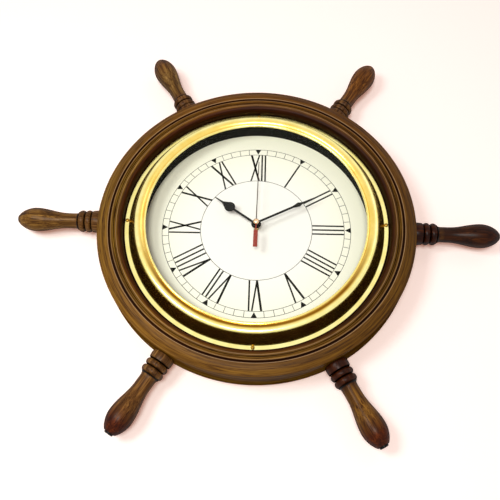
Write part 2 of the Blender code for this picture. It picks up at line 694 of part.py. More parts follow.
def thickened(path, thickness):
    """Closed section of a sheet: the outer path and the same path set back by the sheet's thickness."""
    inner = []
    for i, point in enumerate(path):
        before = Vector(path[max(i - 1, 0)])
        after = Vector(path[min(i + 1, len(path) - 1)])
        along = (after - before).normalized()
        inner.append((point[0] + along.y * thickness, point[1] - along.x * thickness))
    return path + inner[::-1]


def bezel_path():
    """Outer skin of the spun brass bezel, from the glass lip over the bead and cone to the flange."""
    middle = (BEAD_INNER_RADIUS + BEAD_OUTER_RADIUS) / 2
    path = [(BEAD_INNER_RADIUS, LIP_BOTTOM)]
    for i in range(5):
        angle = math.radians(180 - 45 * i)
        path.append((middle + BEAD_WIDTH / 2 * math.cos(angle), BEAD_BASE + BEAD_RISE * math.sin(angle)))
    path.append((CONE_BASE_RADIUS - CONE_RUN * 0.45, FLANGE_TOP + (BEAD_BASE - FLANGE_TOP) * 0.42))
    path += [(CONE_BASE_RADIUS, FLANGE_TOP + BEZEL_SHEET), (CONE_BASE_RADIUS + 0.6 * MM, FLANGE_TOP),
             (FLANGE_RADIUS, FLANGE_TOP)]
    return path


def pan_screw():
    """Round-headed screw along z, its head's underside at z = 0."""
    profile = [(0.0, -SCREW_LENGTH + SEAT_GAP), (SCREW_SHANK_RADIUS, -SCREW_LENGTH + SEAT_GAP + MM),
               (SCREW_SHANK_RADIUS, 0.0), (SCREW_HEAD_RADIUS, 0.0),
               (SCREW_HEAD_RADIUS * 0.85, SCREW_HEAD_HEIGHT * 0.6), (0.0, SCREW_HEAD_HEIGHT)]
    return lathe(profile, SCREW_STEPS)


def make_face(brass, glass, black, ivory, board_finish):
    hole = SCREW_SHANK_RADIUS + HOLE_CLEARANCE
    bezel = place("brass_bezel", lathe(thickened(bezel_path(), BEZEL_SHEET), RIM_STEPS, closed=True), brass)
    boolean(bezel, "DIFFERENCE", [merged([
        stack([(circle(hole, SCREW_STEPS, spot), BEZEL_SEAT - MM, FLANGE_TOP + MM)])
        for spot in bezel_screw_spots()])])
    screw = pan_screw()
    for number, spot in enumerate(bezel_screw_spots(), 1):
        place(f"bezel_screw_{number}", screw, brass, (*spot, FLANGE_TOP + SEAT_GAP))
    place("glass", stack([(circle(GLASS_RADIUS, RIM_STEPS), GLASS_BACK, GLASS_FRONT)]), glass)
    spacer = [(circle(SPACER_RADIUS, RIM_STEPS), DIAL_FACE + SEAT_GAP, GLASS_BACK - SEAT_GAP)]
    place("dial_spacer", stack(spacer, circle(DIAL_OPENING_RADIUS, RIM_STEPS)), black)
    dial_hole = circle(HOUR_PIPE_RADIUS + 2 * HOLE_CLEARANCE, BOSS_STEPS)
    place("dial", stack([(circle(SPACER_RADIUS, RIM_STEPS), DIAL_BACK, DIAL_FACE)], dial_hole), ivory)
    board_radius = REBATE_RADIUS - HOLE_CLEARANCE
    bush_hole = circle(BUSH_RADIUS + HOLE_CLEARANCE, BOSS_STEPS)
    disc = stack([(circle(board_radius, RIM_STEPS), BOARD_BACK, BOARD_FRONT)], bush_hole)
    board = place("backboard", disc, board_finish)
    counterbore = stack([(circle(WASHER_RADIUS + HOLE_CLEARANCE, BOSS_STEPS), WASHER_BACK - SEAT_GAP,
                          BOARD_FRONT + MM)])
    screw_holes = merged([stack([(circle(hole, SCREW_STEPS, spot), BOARD_BACK - MM, BOARD_FRONT + MM)])
                          for spot in board_screw_spots()])
    boolean(board, "DIFFERENCE", [counterbore, screw_holes])


def make_board_screws(finish):
    screw = pan_screw()
    for number, spot in enumerate(board_screw_spots(), 1):
        item = place(f"board_screw_{number}", screw, finish, (*spot, BOARD_BACK - SEAT_GAP))
        item.rotation_euler = (math.pi, 0.0, 0.0)


# Movement case

def make_case(case_finish, cover_finish, brass):
    half, wall = CASE_HALF, CASE_WALL
    case = place("movement_case", block((-half, half), (-half, half), (CASE_BACK_HEIGHT, CASE_FRONT)),
                 case_finish, smooth=False)
    cover_seat = COVER_FRONT + SEAT_GAP
    inside = half - wall
    rooms = merged([block((-inside, inside), (GEAR_ROOM_BOTTOM, inside), (0.0, SHELL_INSIDE)),
                    block((-inside, inside), (BAY_BOTTOM, BAY_TOP), (0.0, SHELL_INSIDE))])
    cover_cut = block((-half - MM, half + MM), (BAY_TOP, half + MM), (0.0, cover_seat))
    notch_top = BATTERY_HEIGHT + CONTACT_WIDTH / 2 + SEAT_GAP
    notches = merged([block(tuple(sorted((side * inside, side * (inside - 1.2 * MM)))),
                            (BAY_TOP - MM, GEAR_ROOM_BOTTOM + MM), (0.0, notch_top)) for side in (-1, 1)])
    boss = stack([(circle(BUSH_RADIUS, BOSS_STEPS), CASE_FRONT - wall / 2, NUT_FRONT)])
    stud = stack([(circle(STUD_RADIUS, SHAFT_STEPS, REVERSER_PLACE), CANNON_LEVEL - PINION_OVERLAP,
                   SHELL_INSIDE + wall / 2)])
    pipe_hole = circle(bore_radius(HOUR_PIPE_RADIUS, RUNNING_CLEARANCE, BOSS_STEPS), BOSS_STEPS)
    pipe_bore = stack([(pipe_hole, SHELL_INSIDE - MM / 2, NUT_FRONT + MM)])
    sockets = merged([pivot_socket(spot, SHELL_INSIDE - MM, SHELL_INSIDE + PIVOT_DEPTH)
                      for spot in (ROTOR_PLACE, INTERMEDIATE_PLACE, THIRD_PLACE, SETTING_PLACE)])
    boolean(case, "DIFFERENCE", [rooms, cover_cut, notches])
    boolean(case, "UNION", [boss, stud])
    boolean(case, "DIFFERENCE", [pipe_bore, sockets])

    cover_low = BAY_TOP + SEAT_GAP
    plate = block((-half, half), (cover_low, half), (CASE_BACK_HEIGHT, COVER_FRONT))
    cover = place("movement_cover", plate, cover_finish, smooth=False)
    knob_bore = bore_radius(KNOB_RADIUS, RUNNING_CLEARANCE, BOSS_STEPS)
    knob_hole = stack([(circle(knob_bore, BOSS_STEPS, SETTING_PLACE), 0.0, COVER_FRONT + MM)])
    rear_sockets = [pivot_socket(spot, COVER_FRONT - PIVOT_DEPTH, COVER_FRONT + MM)
                    for spot in (ROTOR_PLACE, INTERMEDIATE_PLACE, THIRD_PLACE)]
    rear_sockets.append(pivot_socket(CENTRE, COVER_FRONT - PIVOT_DEPTH, COVER_FRONT + MM,
                                     SECONDS_ARBOR_RADIUS))
    boolean(cover, "DIFFERENCE", [knob_hole, merged(rear_sockets)])

    bush_bore = circle(BUSH_RADIUS + HOLE_CLEARANCE, BOSS_STEPS)
    washer = [(circle(WASHER_RADIUS, BOSS_STEPS), WASHER_BACK, WASHER_BACK + WASHER_THICKNESS)]
    place("bush_washer", stack(washer, bush_bore), brass)
    hexagon = circle(NUT_ACROSS_FLATS / 2 / math.cos(math.pi / 6), 6)
    place("bush_nut", stack([(hexagon, NUT_BACK, NUT_FRONT)], bush_bore), brass, smooth=False)


def pivot_socket(spot, low, high, radius=PIVOT_RADIUS):
    hole = circle(bore_radius(radius, RUNNING_CLEARANCE, BOSS_STEPS), BOSS_STEPS, spot)
    return stack([(hole, low, high)])


# Gears

def arbor_sections(parts, rear, front, radius=ARBOR_RADIUS, pivot=PIVOT_RADIUS):
    """Sections of a wheel and its arbor: pivots at both ends and plain arbor between the toothed parts."""
    shaft = circle(radius, SHAFT_STEPS)
    sections = [(circle(pivot, SHAFT_STEPS), rear, COVER_FRONT + SEAT_GAP)]
    height = COVER_FRONT + SEAT_GAP
    for outline, low, high in parts:
        if low > height + 1e-9:
            sections.append((shaft, height, low))
        sections.append((outline, low, high))
        height = high
    shoulder = SHELL_INSIDE - SEAT_GAP
    sections += [(shaft, height, shoulder), (circle(pivot, SHAFT_STEPS), shoulder, front)]
    return sections


def make_train(nylon, magnet, brass):
    rear = COVER_FRONT - PIVOT_DEPTH + RUNNING_CLEARANCE
    front = SHELL_INSIDE + PIVOT_DEPTH - RUNNING_CLEARANCE

    def disc(teeth, module, level):
        return (wheel_outline(teeth, module), level, level + WHEEL_THICKNESS)

    def leaves(count, module, level, start):
        return (pinion_outline(count, module), start, level + WHEEL_THICKNESS + PINION_OVERLAP)

    seconds_turn = 0.0
    intermediate_turn = meshing_turn(seconds_turn, SECONDS_TEETH, INTERMEDIATE_LEAVES,
                                     INTERMEDIATE_DIRECTION)
    rotor_turn = meshing_turn(intermediate_turn, INTERMEDIATE_TEETH, ROTOR_LEAVES, ROTOR_DIRECTION)
    third_turn = meshing_turn(seconds_turn, SECONDS_LEAVES, THIRD_TEETH, THIRD_DIRECTION)
    centre_turn = meshing_turn(third_turn, THIRD_LEAVES, CENTRE_TEETH, THIRD_DIRECTION + 180)
    cannon_turn = 0.0
    reverser_turn = meshing_turn(cannon_turn, CANNON_LEAVES, REVERSER_TEETH, REVERSER_DIRECTION)
    hour_turn = meshing_turn(reverser_turn, REVERSER_LEAVES, HOUR_TEETH, REVERSER_DIRECTION + 180)
    setting_turn = meshing_turn(reverser_turn, REVERSER_TEETH, SETTING_LEAVES, SETTING_DIRECTION)

    motor_height = STATOR_BACK + STATOR_THICKNESS / 2
    rotor_pinion = leaves(ROTOR_LEAVES, ROTOR_MODULE, INTERMEDIATE_LEVEL, INTERMEDIATE_LEVEL - PINION_OVERLAP)
    rotor_parts = [(circle(ROTOR_MAGNET_RADIUS, BOSS_STEPS), motor_height - ROTOR_MAGNET_LENGTH / 2,
                    motor_height + ROTOR_MAGNET_LENGTH / 2), rotor_pinion]
    place("rotor", stack(arbor_sections(rotor_parts, rear, front)), magnet, (*ROTOR_PLACE, 0.0), rotor_turn)

    intermediate_parts = [disc(INTERMEDIATE_TEETH, ROTOR_MODULE, INTERMEDIATE_LEVEL),
                          leaves(INTERMEDIATE_LEAVES, INTERMEDIATE_MODULE, SECONDS_LEVEL,
                                 INTERMEDIATE_LEVEL + WHEEL_THICKNESS)]
    place("intermediate_wheel", stack(arbor_sections(intermediate_parts, rear, front)), nylon,
          (*INTERMEDIATE_PLACE, 0.0), intermediate_turn)

    arbor = circle(SECONDS_ARBOR_RADIUS, SHAFT_STEPS)
    seconds_top = THIRD_LEVEL + WHEEL_THICKNESS + PINION_OVERLAP
    arbor_top = SECOND_HAND_HEIGHT + HAND_THICKNESS + CAP_HEIGHT / 3
    seconds_pinion = leaves(SECONDS_LEAVES, SECONDS_MODULE, THIRD_LEVEL, SECONDS_LEVEL + WHEEL_THICKNESS)
    seconds_sections = [(arbor, rear, SECONDS_LEVEL),
                        disc(SECONDS_TEETH, INTERMEDIATE_MODULE, SECONDS_LEVEL),
                        seconds_pinion, (arbor, seconds_top, arbor_top)]
    place("seconds_wheel", stack(seconds_sections), nylon, turn=seconds_turn)

    third_parts = [disc(THIRD_TEETH, SECONDS_MODULE, THIRD_LEVEL),
                   leaves(THIRD_LEAVES, CENTRE_MODULE, CENTRE_LEVEL, THIRD_LEVEL + WHEEL_THICKNESS)]
    place("third_wheel", stack(arbor_sections(third_parts, rear, front)), nylon,
          (*THIRD_PLACE, 0.0), third_turn)

    tube_bore = circle(bore_radius(SECONDS_ARBOR_RADIUS, RUNNING_CLEARANCE, SHAFT_STEPS), SHAFT_STEPS)
    centre_bore = circle(bore_radius(MINUTE_TUBE_RADIUS, RUNNING_CLEARANCE, BOSS_STEPS), BOSS_STEPS)
    place("centre_wheel", stack([disc(CENTRE_TEETH, CENTRE_MODULE, CENTRE_LEVEL)], centre_bore), brass,
          turn=centre_turn)
    tube = circle(MINUTE_TUBE_RADIUS, BOSS_STEPS)
    tube_top = MINUTE_HAND_HEIGHT + HAND_THICKNESS + SEAT_GAP
    cannon_bottom = CANNON_LEVEL - PINION_OVERLAP / 2
    cannon_top = CANNON_LEVEL + WHEEL_THICKNESS + PINION_OVERLAP / 2
    cannon = [(tube, CENTRE_LEVEL, cannon_bottom), (pinion_outline(CANNON_LEAVES, CANNON_MODULE),
              cannon_bottom, cannon_top), (circle(MINUTE_TUBE_RADIUS, BOSS_STEPS), cannon_top, tube_top)]
    place("cannon_pinion", stack(cannon, tube_bore), brass, turn=cannon_turn)

    stud_bore = circle(bore_radius(STUD_RADIUS, RUNNING_CLEARANCE, BOSS_STEPS), BOSS_STEPS)
    reverser = [disc(REVERSER_TEETH, CANNON_MODULE, CANNON_LEVEL),
                leaves(REVERSER_LEAVES, HOUR_MODULE, HOUR_LEVEL, CANNON_LEVEL + WHEEL_THICKNESS)]
    place("reverser_wheel", stack(reverser, stud_bore), nylon, (*REVERSER_PLACE, 0.0), reverser_turn)

    pipe_top = HOUR_HAND_HEIGHT + HAND_THICKNESS + SEAT_GAP
    hour = [disc(HOUR_TEETH, HOUR_MODULE, HOUR_LEVEL),
            (circle(HOUR_PIPE_RADIUS, BOSS_STEPS), HOUR_LEVEL + WHEEL_THICKNESS, pipe_top)]
    place("hour_wheel", stack(hour, centre_bore), brass, turn=hour_turn)

    knob_top = CASE_BACK_HEIGHT + KNOB_HEIGHT
    knob = [(knob_outline(), CASE_BACK_HEIGHT, knob_top),
            (circle(ARBOR_RADIUS, SHAFT_STEPS), knob_top, CANNON_LEVEL - PINION_OVERLAP),
            (pinion_outline(SETTING_LEAVES, CANNON_MODULE), CANNON_LEVEL - PINION_OVERLAP,
             CANNON_LEVEL + WHEEL_THICKNESS + PINION_OVERLAP),
            (circle(ARBOR_RADIUS, SHAFT_STEPS), CANNON_LEVEL + WHEEL_THICKNESS + PINION_OVERLAP,
             SHELL_INSIDE - SEAT_GAP),
            (circle(PIVOT_RADIUS, SHAFT_STEPS), SHELL_INSIDE - SEAT_GAP, front)]
    place("setting_knob", stack(knob), nylon, (*SETTING_PLACE, 0.0), setting_turn)


def knob_outline():
    """Fluted rim of the setting knob."""
    points = []
    for i in range(KNOB_FLUTES):
        points.append(polar(KNOB_RADIUS, 360 * i / KNOB_FLUTES))
        points.append(polar(KNOB_RADIUS - KNOB_FLUTE_DEPTH, 360 * (i + 0.5) / KNOB_FLUTES))
    return points


# Stepping motor

def make_motor(iron, copper, plastic):
    bobbin_half = COIL_LENGTH / 2 + BOBBIN_CHEEK
    core_half = bobbin_half + CORE_OVERHANG
    pad_half = CORE_WIDTH / 2 + 0.4 * MM
    inner_x = COIL_X + BOBBIN_CHEEK_RADIUS + SEAT_GAP
    hole = ROTOR_MAGNET_RADIUS + STATOR_BORE_GAP
    pole = hole + STATOR_POLE_WIDTH
    arm = bobbin_half + SEAT_GAP
    outline = [(COIL_X - pad_half, COIL_Y - core_half), (inner_x + 1.0 * MM, COIL_Y - core_half)]
    outline += arc(ROTOR_PLACE, pole, -60, 60, 5)
    outline += [(inner_x + 1.0 * MM, COIL_Y + core_half), (COIL_X - pad_half, COIL_Y + core_half),
                (COIL_X - pad_half, COIL_Y + arm), (inner_x, COIL_Y + arm), (inner_x, COIL_Y - arm),
                (COIL_X - pad_half, COIL_Y - arm)]
    bore = circle(hole, BOSS_STEPS, ROTOR_PLACE)
    stator = stack([(outline, STATOR_BACK, STATOR_BACK + STATOR_THICKNESS)], bore)
    place("stator", stator, iron, smooth=False)

    core = block((COIL_X - CORE_WIDTH / 2, COIL_X + CORE_WIDTH / 2),
                 (COIL_Y - core_half, COIL_Y + core_half), (CORE_BACK, CORE_BACK + CORE_THICKNESS))
    place("coil_core", core, iron, smooth=False)

    lay = Matrix.Translation((COIL_X, COIL_Y, COIL_HEIGHT)) @ Matrix.Rotation(math.radians(-90), 4, "X")
    cheek = circle(BOBBIN_CHEEK_RADIUS, BOSS_STEPS)
    slot_half = (CORE_WIDTH / 2 + HOLE_CLEARANCE, CORE_THICKNESS / 2 + HOLE_CLEARANCE)
    slot = [(-slot_half[0], -slot_half[1]), (slot_half[0], -slot_half[1]),
            (slot_half[0], slot_half[1]), (-slot_half[0], slot_half[1])]
    sleeve_radius = math.hypot(*slot_half) + HOLE_CLEARANCE
    sleeve = circle(sleeve_radius, BOSS_STEPS)
    bobbin = [(cheek, -bobbin_half, -bobbin_half + BOBBIN_CHEEK),
              (sleeve, -bobbin_half + BOBBIN_CHEEK, bobbin_half - BOBBIN_CHEEK),
              (cheek, bobbin_half - BOBBIN_CHEEK, bobbin_half)]
    place("bobbin", moved(stack(bobbin, slot), lay), plastic, smooth=False)
    winding_bore = circle(bore_radius(sleeve_radius, 2 * RUNNING_CLEARANCE, BOSS_STEPS), BOSS_STEPS)
    winding_half = COIL_LENGTH / 2 - SEAT_GAP
    winding = stack([(circle(COIL_RADIUS, BOSS_STEPS), -winding_half, winding_half)], winding_bore)
    place("coil_winding", moved(winding, lay), copper)


def make_electronics(green, silver, spring):
    pcb_back = COVER_FRONT + SEAT_GAP
    right = CASE_HALF - CASE_WALL - HOLE_CLEARANCE
    pcb_low = GEAR_ROOM_BOTTOM + HOLE_CLEARANCE
    board = block((right - PCB_LENGTH, right), (pcb_low, pcb_low + PCB_WIDTH),
                  (pcb_back, pcb_back + BOARD_PCB_THICKNESS))
    place("circuit_board", board, green, smooth=False)
    crystal_height = pcb_back + BOARD_PCB_THICKNESS + SEAT_GAP + CRYSTAL_RADIUS
    crystal_place = (right - PCB_LENGTH / 4, pcb_low + PCB_WIDTH / 2, crystal_height)
    lay = Matrix.Translation(crystal_place) @ Matrix.Rotation(math.radians(90), 4, "Y")
    crystal = stack([(circle(CRYSTAL_RADIUS, SHAFT_STEPS), 0.0, CRYSTAL_LENGTH)])
    place("quartz_crystal", moved(crystal, lay), silver)

    for side, name in ((1, "battery_contact_positive"), (-1, "battery_contact_negative")):
        place(name, contact_mesh(side), spring, smooth=False)


def contact_mesh(side):
    """Spring strip: along the gear room's wall, through the notch and down the end of the bay."""
    end = CASE_HALF - CASE_WALL - HOLE_CLEARANCE - CONTACT_THICKNESS / 2
    wall_line = GEAR_ROOM_BOTTOM + HOLE_CLEARANCE + CONTACT_THICKNESS / 2
    middle = BATTERY_PLACE[1]
    bowed = end - CONTACT_BOW
    path = [(end - CONTACT_RUN, wall_line), (end, wall_line), (end, middle + BATTERY_RADIUS * 0.8),
            (bowed, middle + BATTERY_TIP_RADIUS), (bowed, middle - BATTERY_TIP_RADIUS),
            (end, middle - BATTERY_RADIUS * 0.8)]
    half = CONTACT_THICKNESS / 2
    left, right = [], []
    for i, point in enumerate(path):
        before = Vector(path[max(i - 1, 0)])
        after = Vector(path[min(i + 1, len(path) - 1)])
        here = Vector(point)
        first = (here - before).normalized() if i else (after - here).normalized()
        second = (after - here).normalized() if i < len(path) - 1 else first
        normal = Vector((first.y + second.y, -first.x - second.x)).normalized()
        reach = half / max(normal.dot(Vector((first.y, -first.x))), 0.5)
        left.append(tuple(here + normal * reach))
        right.append(tuple(here - normal * reach))
    outline = [(side * x, y) for x, y in left + right[::-1]]
    return stack([(outline, BATTERY_HEIGHT - CONTACT_WIDTH / 2, BATTERY_HEIGHT + CONTACT_WIDTH / 2)])


def make_battery(finish):
    """AA cell lying across the bay, its tip to the right."""
    half = BATTERY_LENGTH / 2
    body = half - BATTERY_TIP_LENGTH
    edge = 0.5 * MM
    profile = [(0.0, -half), (BATTERY_RADIUS - edge, -half), (BATTERY_RADIUS, -half + edge),
               (BATTERY_RADIUS, body - edge), (BATTERY_RADIUS - edge, body), (BATTERY_TIP_RADIUS, body),
               (BATTERY_TIP_RADIUS, half), (0.0, half)]
    mesh = moved(lathe(profile, BOSS_STEPS), Matrix.Rotation(math.radians(90), 4, "Y"))
    place("battery", mesh, finish, (*BATTERY_PLACE, BATTERY_HEIGHT))


# Hands

def hand_outline(length, disc_place, disc_radius, stem_width, boss_radius):
    """Outline of a lollipop hand pointing up: boss, stem, disc drawn out into a slender tip."""
    stem = stem_width / 2
    boss_angle = math.degrees(math.asin(stem / boss_radius))
    disc_angle = math.degrees(math.asin(stem / disc_radius))
    tip = stem * 0.4
    right = arc((0.0, disc_place), disc_radius, -90 + disc_angle, 45, 6)
    right += [(stem * 0.9, disc_place + disc_radius * 1.65), (tip, length)]
    boss = arc((0.0, 0.0), boss_radius, 90 + boss_angle, 450 - boss_angle, BOSS_STEPS)
    left = [(-x, y) for x, y in right[::-1]]
    return boss + right + left


def make_hands(black, red, gold):
    minute_turn = -6.0 * TIME_MINUTE
    hour_turn = -30.0 * (TIME_HOUR + TIME_MINUTE / 60)
    collar = HAND_COLLAR_HEIGHT

    outline = hand_outline(HOUR_HAND_LENGTH, HOUR_DISC_PLACE, HOUR_DISC_RADIUS, HOUR_STEM_WIDTH,
                           HOUR_BOSS_RADIUS)
    bore = circle(bore_radius(HOUR_PIPE_RADIUS, RUNNING_CLEARANCE, BOSS_STEPS), BOSS_STEPS)
    neck = circle(HOUR_PIPE_RADIUS + MM, BOSS_STEPS)
    place("hour_hand", stack([(neck, HOUR_HAND_HEIGHT - collar, HOUR_HAND_HEIGHT),
                              (outline, HOUR_HAND_HEIGHT, HOUR_HAND_HEIGHT + HAND_THICKNESS)], bore),
          black, turn=hour_turn)

    outline = hand_outline(MINUTE_HAND_LENGTH, MINUTE_DISC_PLACE, MINUTE_DISC_RADIUS, MINUTE_STEM_WIDTH,
                           MINUTE_BOSS_RADIUS)
    bore = circle(bore_radius(MINUTE_TUBE_RADIUS, RUNNING_CLEARANCE, BOSS_STEPS), BOSS_STEPS)
    neck = circle(MINUTE_TUBE_RADIUS + MM, BOSS_STEPS)
    place("minute_hand", stack([(neck, MINUTE_HAND_HEIGHT - collar, MINUTE_HAND_HEIGHT),
                                (outline, MINUTE_HAND_HEIGHT, MINUTE_HAND_HEIGHT + HAND_THICKNESS)], bore),
          black, turn=minute_turn)

    stem = SECOND_STEM_WIDTH / 2
    tail = SECOND_TAIL_WIDTH / 2
    angle = math.degrees(math.asin(stem / SECOND_BOSS_RADIUS))
    boss = arc((0.0, 0.0), SECOND_BOSS_RADIUS, -90 + angle, 90 - angle, BOSS_STEPS // 2)
    side = [(tail, -SECOND_TAIL_END), (tail, -SECOND_TAIL_START), (stem, -SECOND_TAIL_START)] + boss
    side.append((stem * 0.5, SECOND_HAND_LENGTH))
    outline = side + [(-x, y) for x, y in side[::-1]]
    bore = circle(bore_radius(SECONDS_ARBOR_RADIUS, RUNNING_CLEARANCE, SHAFT_STEPS), SHAFT_STEPS)
    neck = circle(SECONDS_ARBOR_RADIUS + MM, SHAFT_STEPS)
    place("second_hand", stack([(neck, SECOND_HAND_HEIGHT - collar, SECOND_HAND_HEIGHT),
                                (outline, SECOND_HAND_HEIGHT, SECOND_HAND_HEIGHT + HAND_THICKNESS)], bore),
          red, turn=-SECOND_HAND_ANGLE)

    seat = SECOND_HAND_HEIGHT + HAND_THICKNESS + SEAT_GAP
    socket = bore_radius(SECONDS_ARBOR_RADIUS, RUNNING_CLEARANCE, BOSS_STEPS)
    socket_top = SECOND_HAND_HEIGHT + HAND_THICKNESS + CAP_HEIGHT / 3 + SEAT_GAP
    profile = [(0.0, socket_top), (socket, socket_top), (socket, seat), (CAP_RADIUS, seat)]
    profile += [(CAP_RADIUS * math.cos(math.radians(a)), seat + CAP_HEIGHT * math.sin(math.radians(a)))
                for a in (30, 60)]
    profile.append((0.0, seat + CAP_HEIGHT))
    place("centre_cap", lathe(profile, BOSS_STEPS), gold)


clear_scene()
CLOCK_FRAME = bpy.data.objects.new("clock_frame", None)
bpy.context.scene.collection.objects.link(CLOCK_FRAME)
CLOCK_FRAME.location = (0.0, 0.0, -NAIL_RADIUS)
CLOCK_FRAME.rotation_euler = (math.radians(90), 0.0, 0.0)

BRASS = material("polished_brass", "#D9B25A", 0.18, 1.0)
STEEL = material("zinc_plated_steel", "#B9BCC0", 0.35, 1.0)
BLACK_PLASTIC = material("black_plastic", "#1B1C1E", 0.45)
NYLON = material("white_nylon", "#E6E2D4", 0.5)

make_rim(material("stained_rim_wood", "#6B4826", 0.35))
make_handles(material("stained_handle_wood", "#57301A", 0.32))
make_hanger(STEEL, STEEL)
make_face(BRASS, material("clear_glass", "#EAF2EE", 0.03, alpha=0.25),
          material("black_card", "#15150F", 0.6), material("ivory_dial", "#F8F7E6", 0.55),
          material("backboard_mdf", "#9A7B55", 0.8))
make_board_screws(STEEL)
make_case(BLACK_PLASTIC, BLACK_PLASTIC, BRASS)
make_train(NYLON, material("ferrite_magnet", "#3A3B3E", 0.5, 0.6), BRASS)
make_motor(material("soft_iron", "#8E9196", 0.4, 1.0), material("copper_wire", "#B5653A", 0.35, 1.0), NYLON)
make_electronics(material("circuit_laminate", "#2F6B3A", 0.5), STEEL,
                 material("nickel_spring_strip", "#C8C9C6", 0.3, 1.0))
make_battery(material("battery_sleeve", "#2B2D31", 0.35))
make_hands(material("black_enamel", "#22231A", 0.4), material("red_enamel", "#A8443C", 0.45), BRASS)
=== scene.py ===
"""Ship wheel wall clock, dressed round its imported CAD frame.

Shapes are drawn in the clock's own frame in millimetres: x to the right and y up on the dial, z towards
the viewer, with z = 0 on the wall.  STAND turns that frame into the CAD model's frame in metres.
"""

import math

import bmesh
import bpy
from mathutils import Matrix, Vector


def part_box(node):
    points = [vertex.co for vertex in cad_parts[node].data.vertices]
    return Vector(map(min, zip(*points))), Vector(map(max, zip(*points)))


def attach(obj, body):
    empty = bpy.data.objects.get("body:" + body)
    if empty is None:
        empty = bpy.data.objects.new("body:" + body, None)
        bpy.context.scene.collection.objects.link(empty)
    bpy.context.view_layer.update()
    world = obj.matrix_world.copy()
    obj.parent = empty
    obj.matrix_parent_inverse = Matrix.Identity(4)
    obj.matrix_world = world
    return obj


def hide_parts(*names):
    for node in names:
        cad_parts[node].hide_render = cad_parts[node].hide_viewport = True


MM = 0.001
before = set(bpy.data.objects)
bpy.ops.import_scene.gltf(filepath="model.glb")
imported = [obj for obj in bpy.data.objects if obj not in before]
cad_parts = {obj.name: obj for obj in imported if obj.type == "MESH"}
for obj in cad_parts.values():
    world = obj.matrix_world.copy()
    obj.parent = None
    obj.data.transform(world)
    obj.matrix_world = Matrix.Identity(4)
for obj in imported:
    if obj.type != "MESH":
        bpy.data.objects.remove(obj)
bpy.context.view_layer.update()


# Sizes read from the frame

def across(node):
    """Outer radius of a node that is turned about the clock's axis, in mm."""
    low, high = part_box(node)
    return (high.x - low.x) / 2 / MM


def heights(node):
    """Heights of a node's back and front above the wall, in mm."""
    low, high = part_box(node)
    return -high.y / MM, -low.y / MM


DIAL_LOW, DIAL_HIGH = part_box("dial")
CENTRE_HEIGHT = (DIAL_LOW.z + DIAL_HIGH.z) / 2
DIAL_CENTRE = Vector((0.0, 0.0, CENTRE_HEIGHT))
UPRIGHT = Matrix.Rotation(math.radians(90), 4, "X")
STAND = Matrix.Translation(DIAL_CENTRE) @ UPRIGHT @ Matrix.Scale(MM, 4)

RIM_SEGMENTS = [f"rim_segment_{number}" for number in range(1, 7)]
RIM_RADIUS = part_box("rim_segment_1")[1].x / MM
FLANGE_RADIUS = across("brass_bezel")
GLASS_RADIUS = across("glass")
SPACER_RADIUS = across("dial_spacer")
DIAL_RADIUS = across("dial")
CAP_RADIUS = across("centre_cap")
BOARD_RADIUS = across("backboard")
RIM_CREST = heights("rim_segment_1")[1]
BEAD_TOP = heights("brass_bezel")[1]
BEZEL_SCREW_TOP = heights("bezel_screw_1")[1]
HANGER_FRONT = heights("hanger_bracket")[1]
GLASS_BACK, GLASS_FRONT = heights("glass")
SPACER_BACK, SPACER_FRONT = heights("dial_spacer")
DIAL_BACK, DIAL_FACE = heights("dial")
BOARD_BACK, BOARD_FRONT = heights("backboard")
HOUR_FRONT = heights("hour_hand")[1]
MINUTE_FRONT = heights("minute_hand")[1]
SECOND_FRONT = heights("second_hand")[1]
CAP_BACK, CAP_FRONT = heights("centre_cap")

# Shared by the pieces: gaps and arrises in mm, a sharp edge in degrees, steps round a turned piece
SEAT_GAP = 0.3
ARRIS = 0.4
CUT_OVERRUN = 1.0
SHARP_ANGLE = 32
WIDE_STEPS = 240
DISC_STEPS = 180
HANDLE_STEPS = 64
CAP_STEPS = 48
SCREW_STEPS = 32

# Wooden rim, mm
REBATE_RADIUS = 155.4
BORE_RADIUS = 147.0
RECESS_RADIUS = 165.9
SEAT_HEIGHT = 36.8
BACK_ROUND = 9.0
EDGE_ROUND = 1.5
EDGE_HEIGHT = 46.2
BAND_CROWN = 1.2
GROOVE_OUTER = 183.2
GROOVE_INNER = 180.6
GROOVE_DEPTH = 3.6
GROOVE_LIP = 0.5
GROOVE_FLOOR_HALF = 0.3
FLAT_REED_INNER = 178.6
REED_NOTCHES = (178.1, 176.1, 174.3)
NOTCH_DEPTH = 1.1
REED_ROUND = 0.8
BAND_OUTER = 173.7
COVE_OUTER = 171.3
COVE_TOP = 49.0
COVE_LEDGE = 0.2

# Handles, mm along the handle from the rim's edge; the lead is in degrees anticlockwise
HANDLE_COUNT = 6
HANDLE_LEAD = -1.2
HANDLE_AXIS_HEIGHT = 24.5
TENON_RADIUS = 6.0
TENON_LENGTH = 16.0
COLLAR_RADIUS = 14.2
COLLAR_END = 10.2
COLLAR_CHAMFER = 1.3
# The collar's crown is a stretch of a half wave
COLLAR_CROWN = 0.8
CROWN_START = 0.15
CROWN_SPAN = 0.75
VALLEY_RADIUS = 10.0
VALLEY_RUN = 0.9
# Middle, half width and radius of each bead; a fullness under 1 makes a bead squarer than a half wave
HANDLE_BEADS = ((15.4, 3.9, 14.1), (24.0, 3.9, 13.8))
BEAD_FULLNESS = 0.7
BEAD_REST = 0.2
NECK_RADIUS = 9.7
NECK_FLARE = 2.1
NECK_FOOT = 28.6
NECK_START = 33.6
NECK_END = 43.0
BULB_RADIUS = 15.1
BULB_PLACE = 84.0
DOME_END = 104.8
DOME_END_RADIUS = 7.0
# Share of a straight taper that is blended into the dome by its end
TIP_TAPER = 0.25
NUB_RADIUS = 5.6
NUB_ROUND = 0.7
NUB_SHOULDER_SHARE = 0.96
NUB_FACE_SHARE = 0.8
HANDLE_LENGTH = 107.0

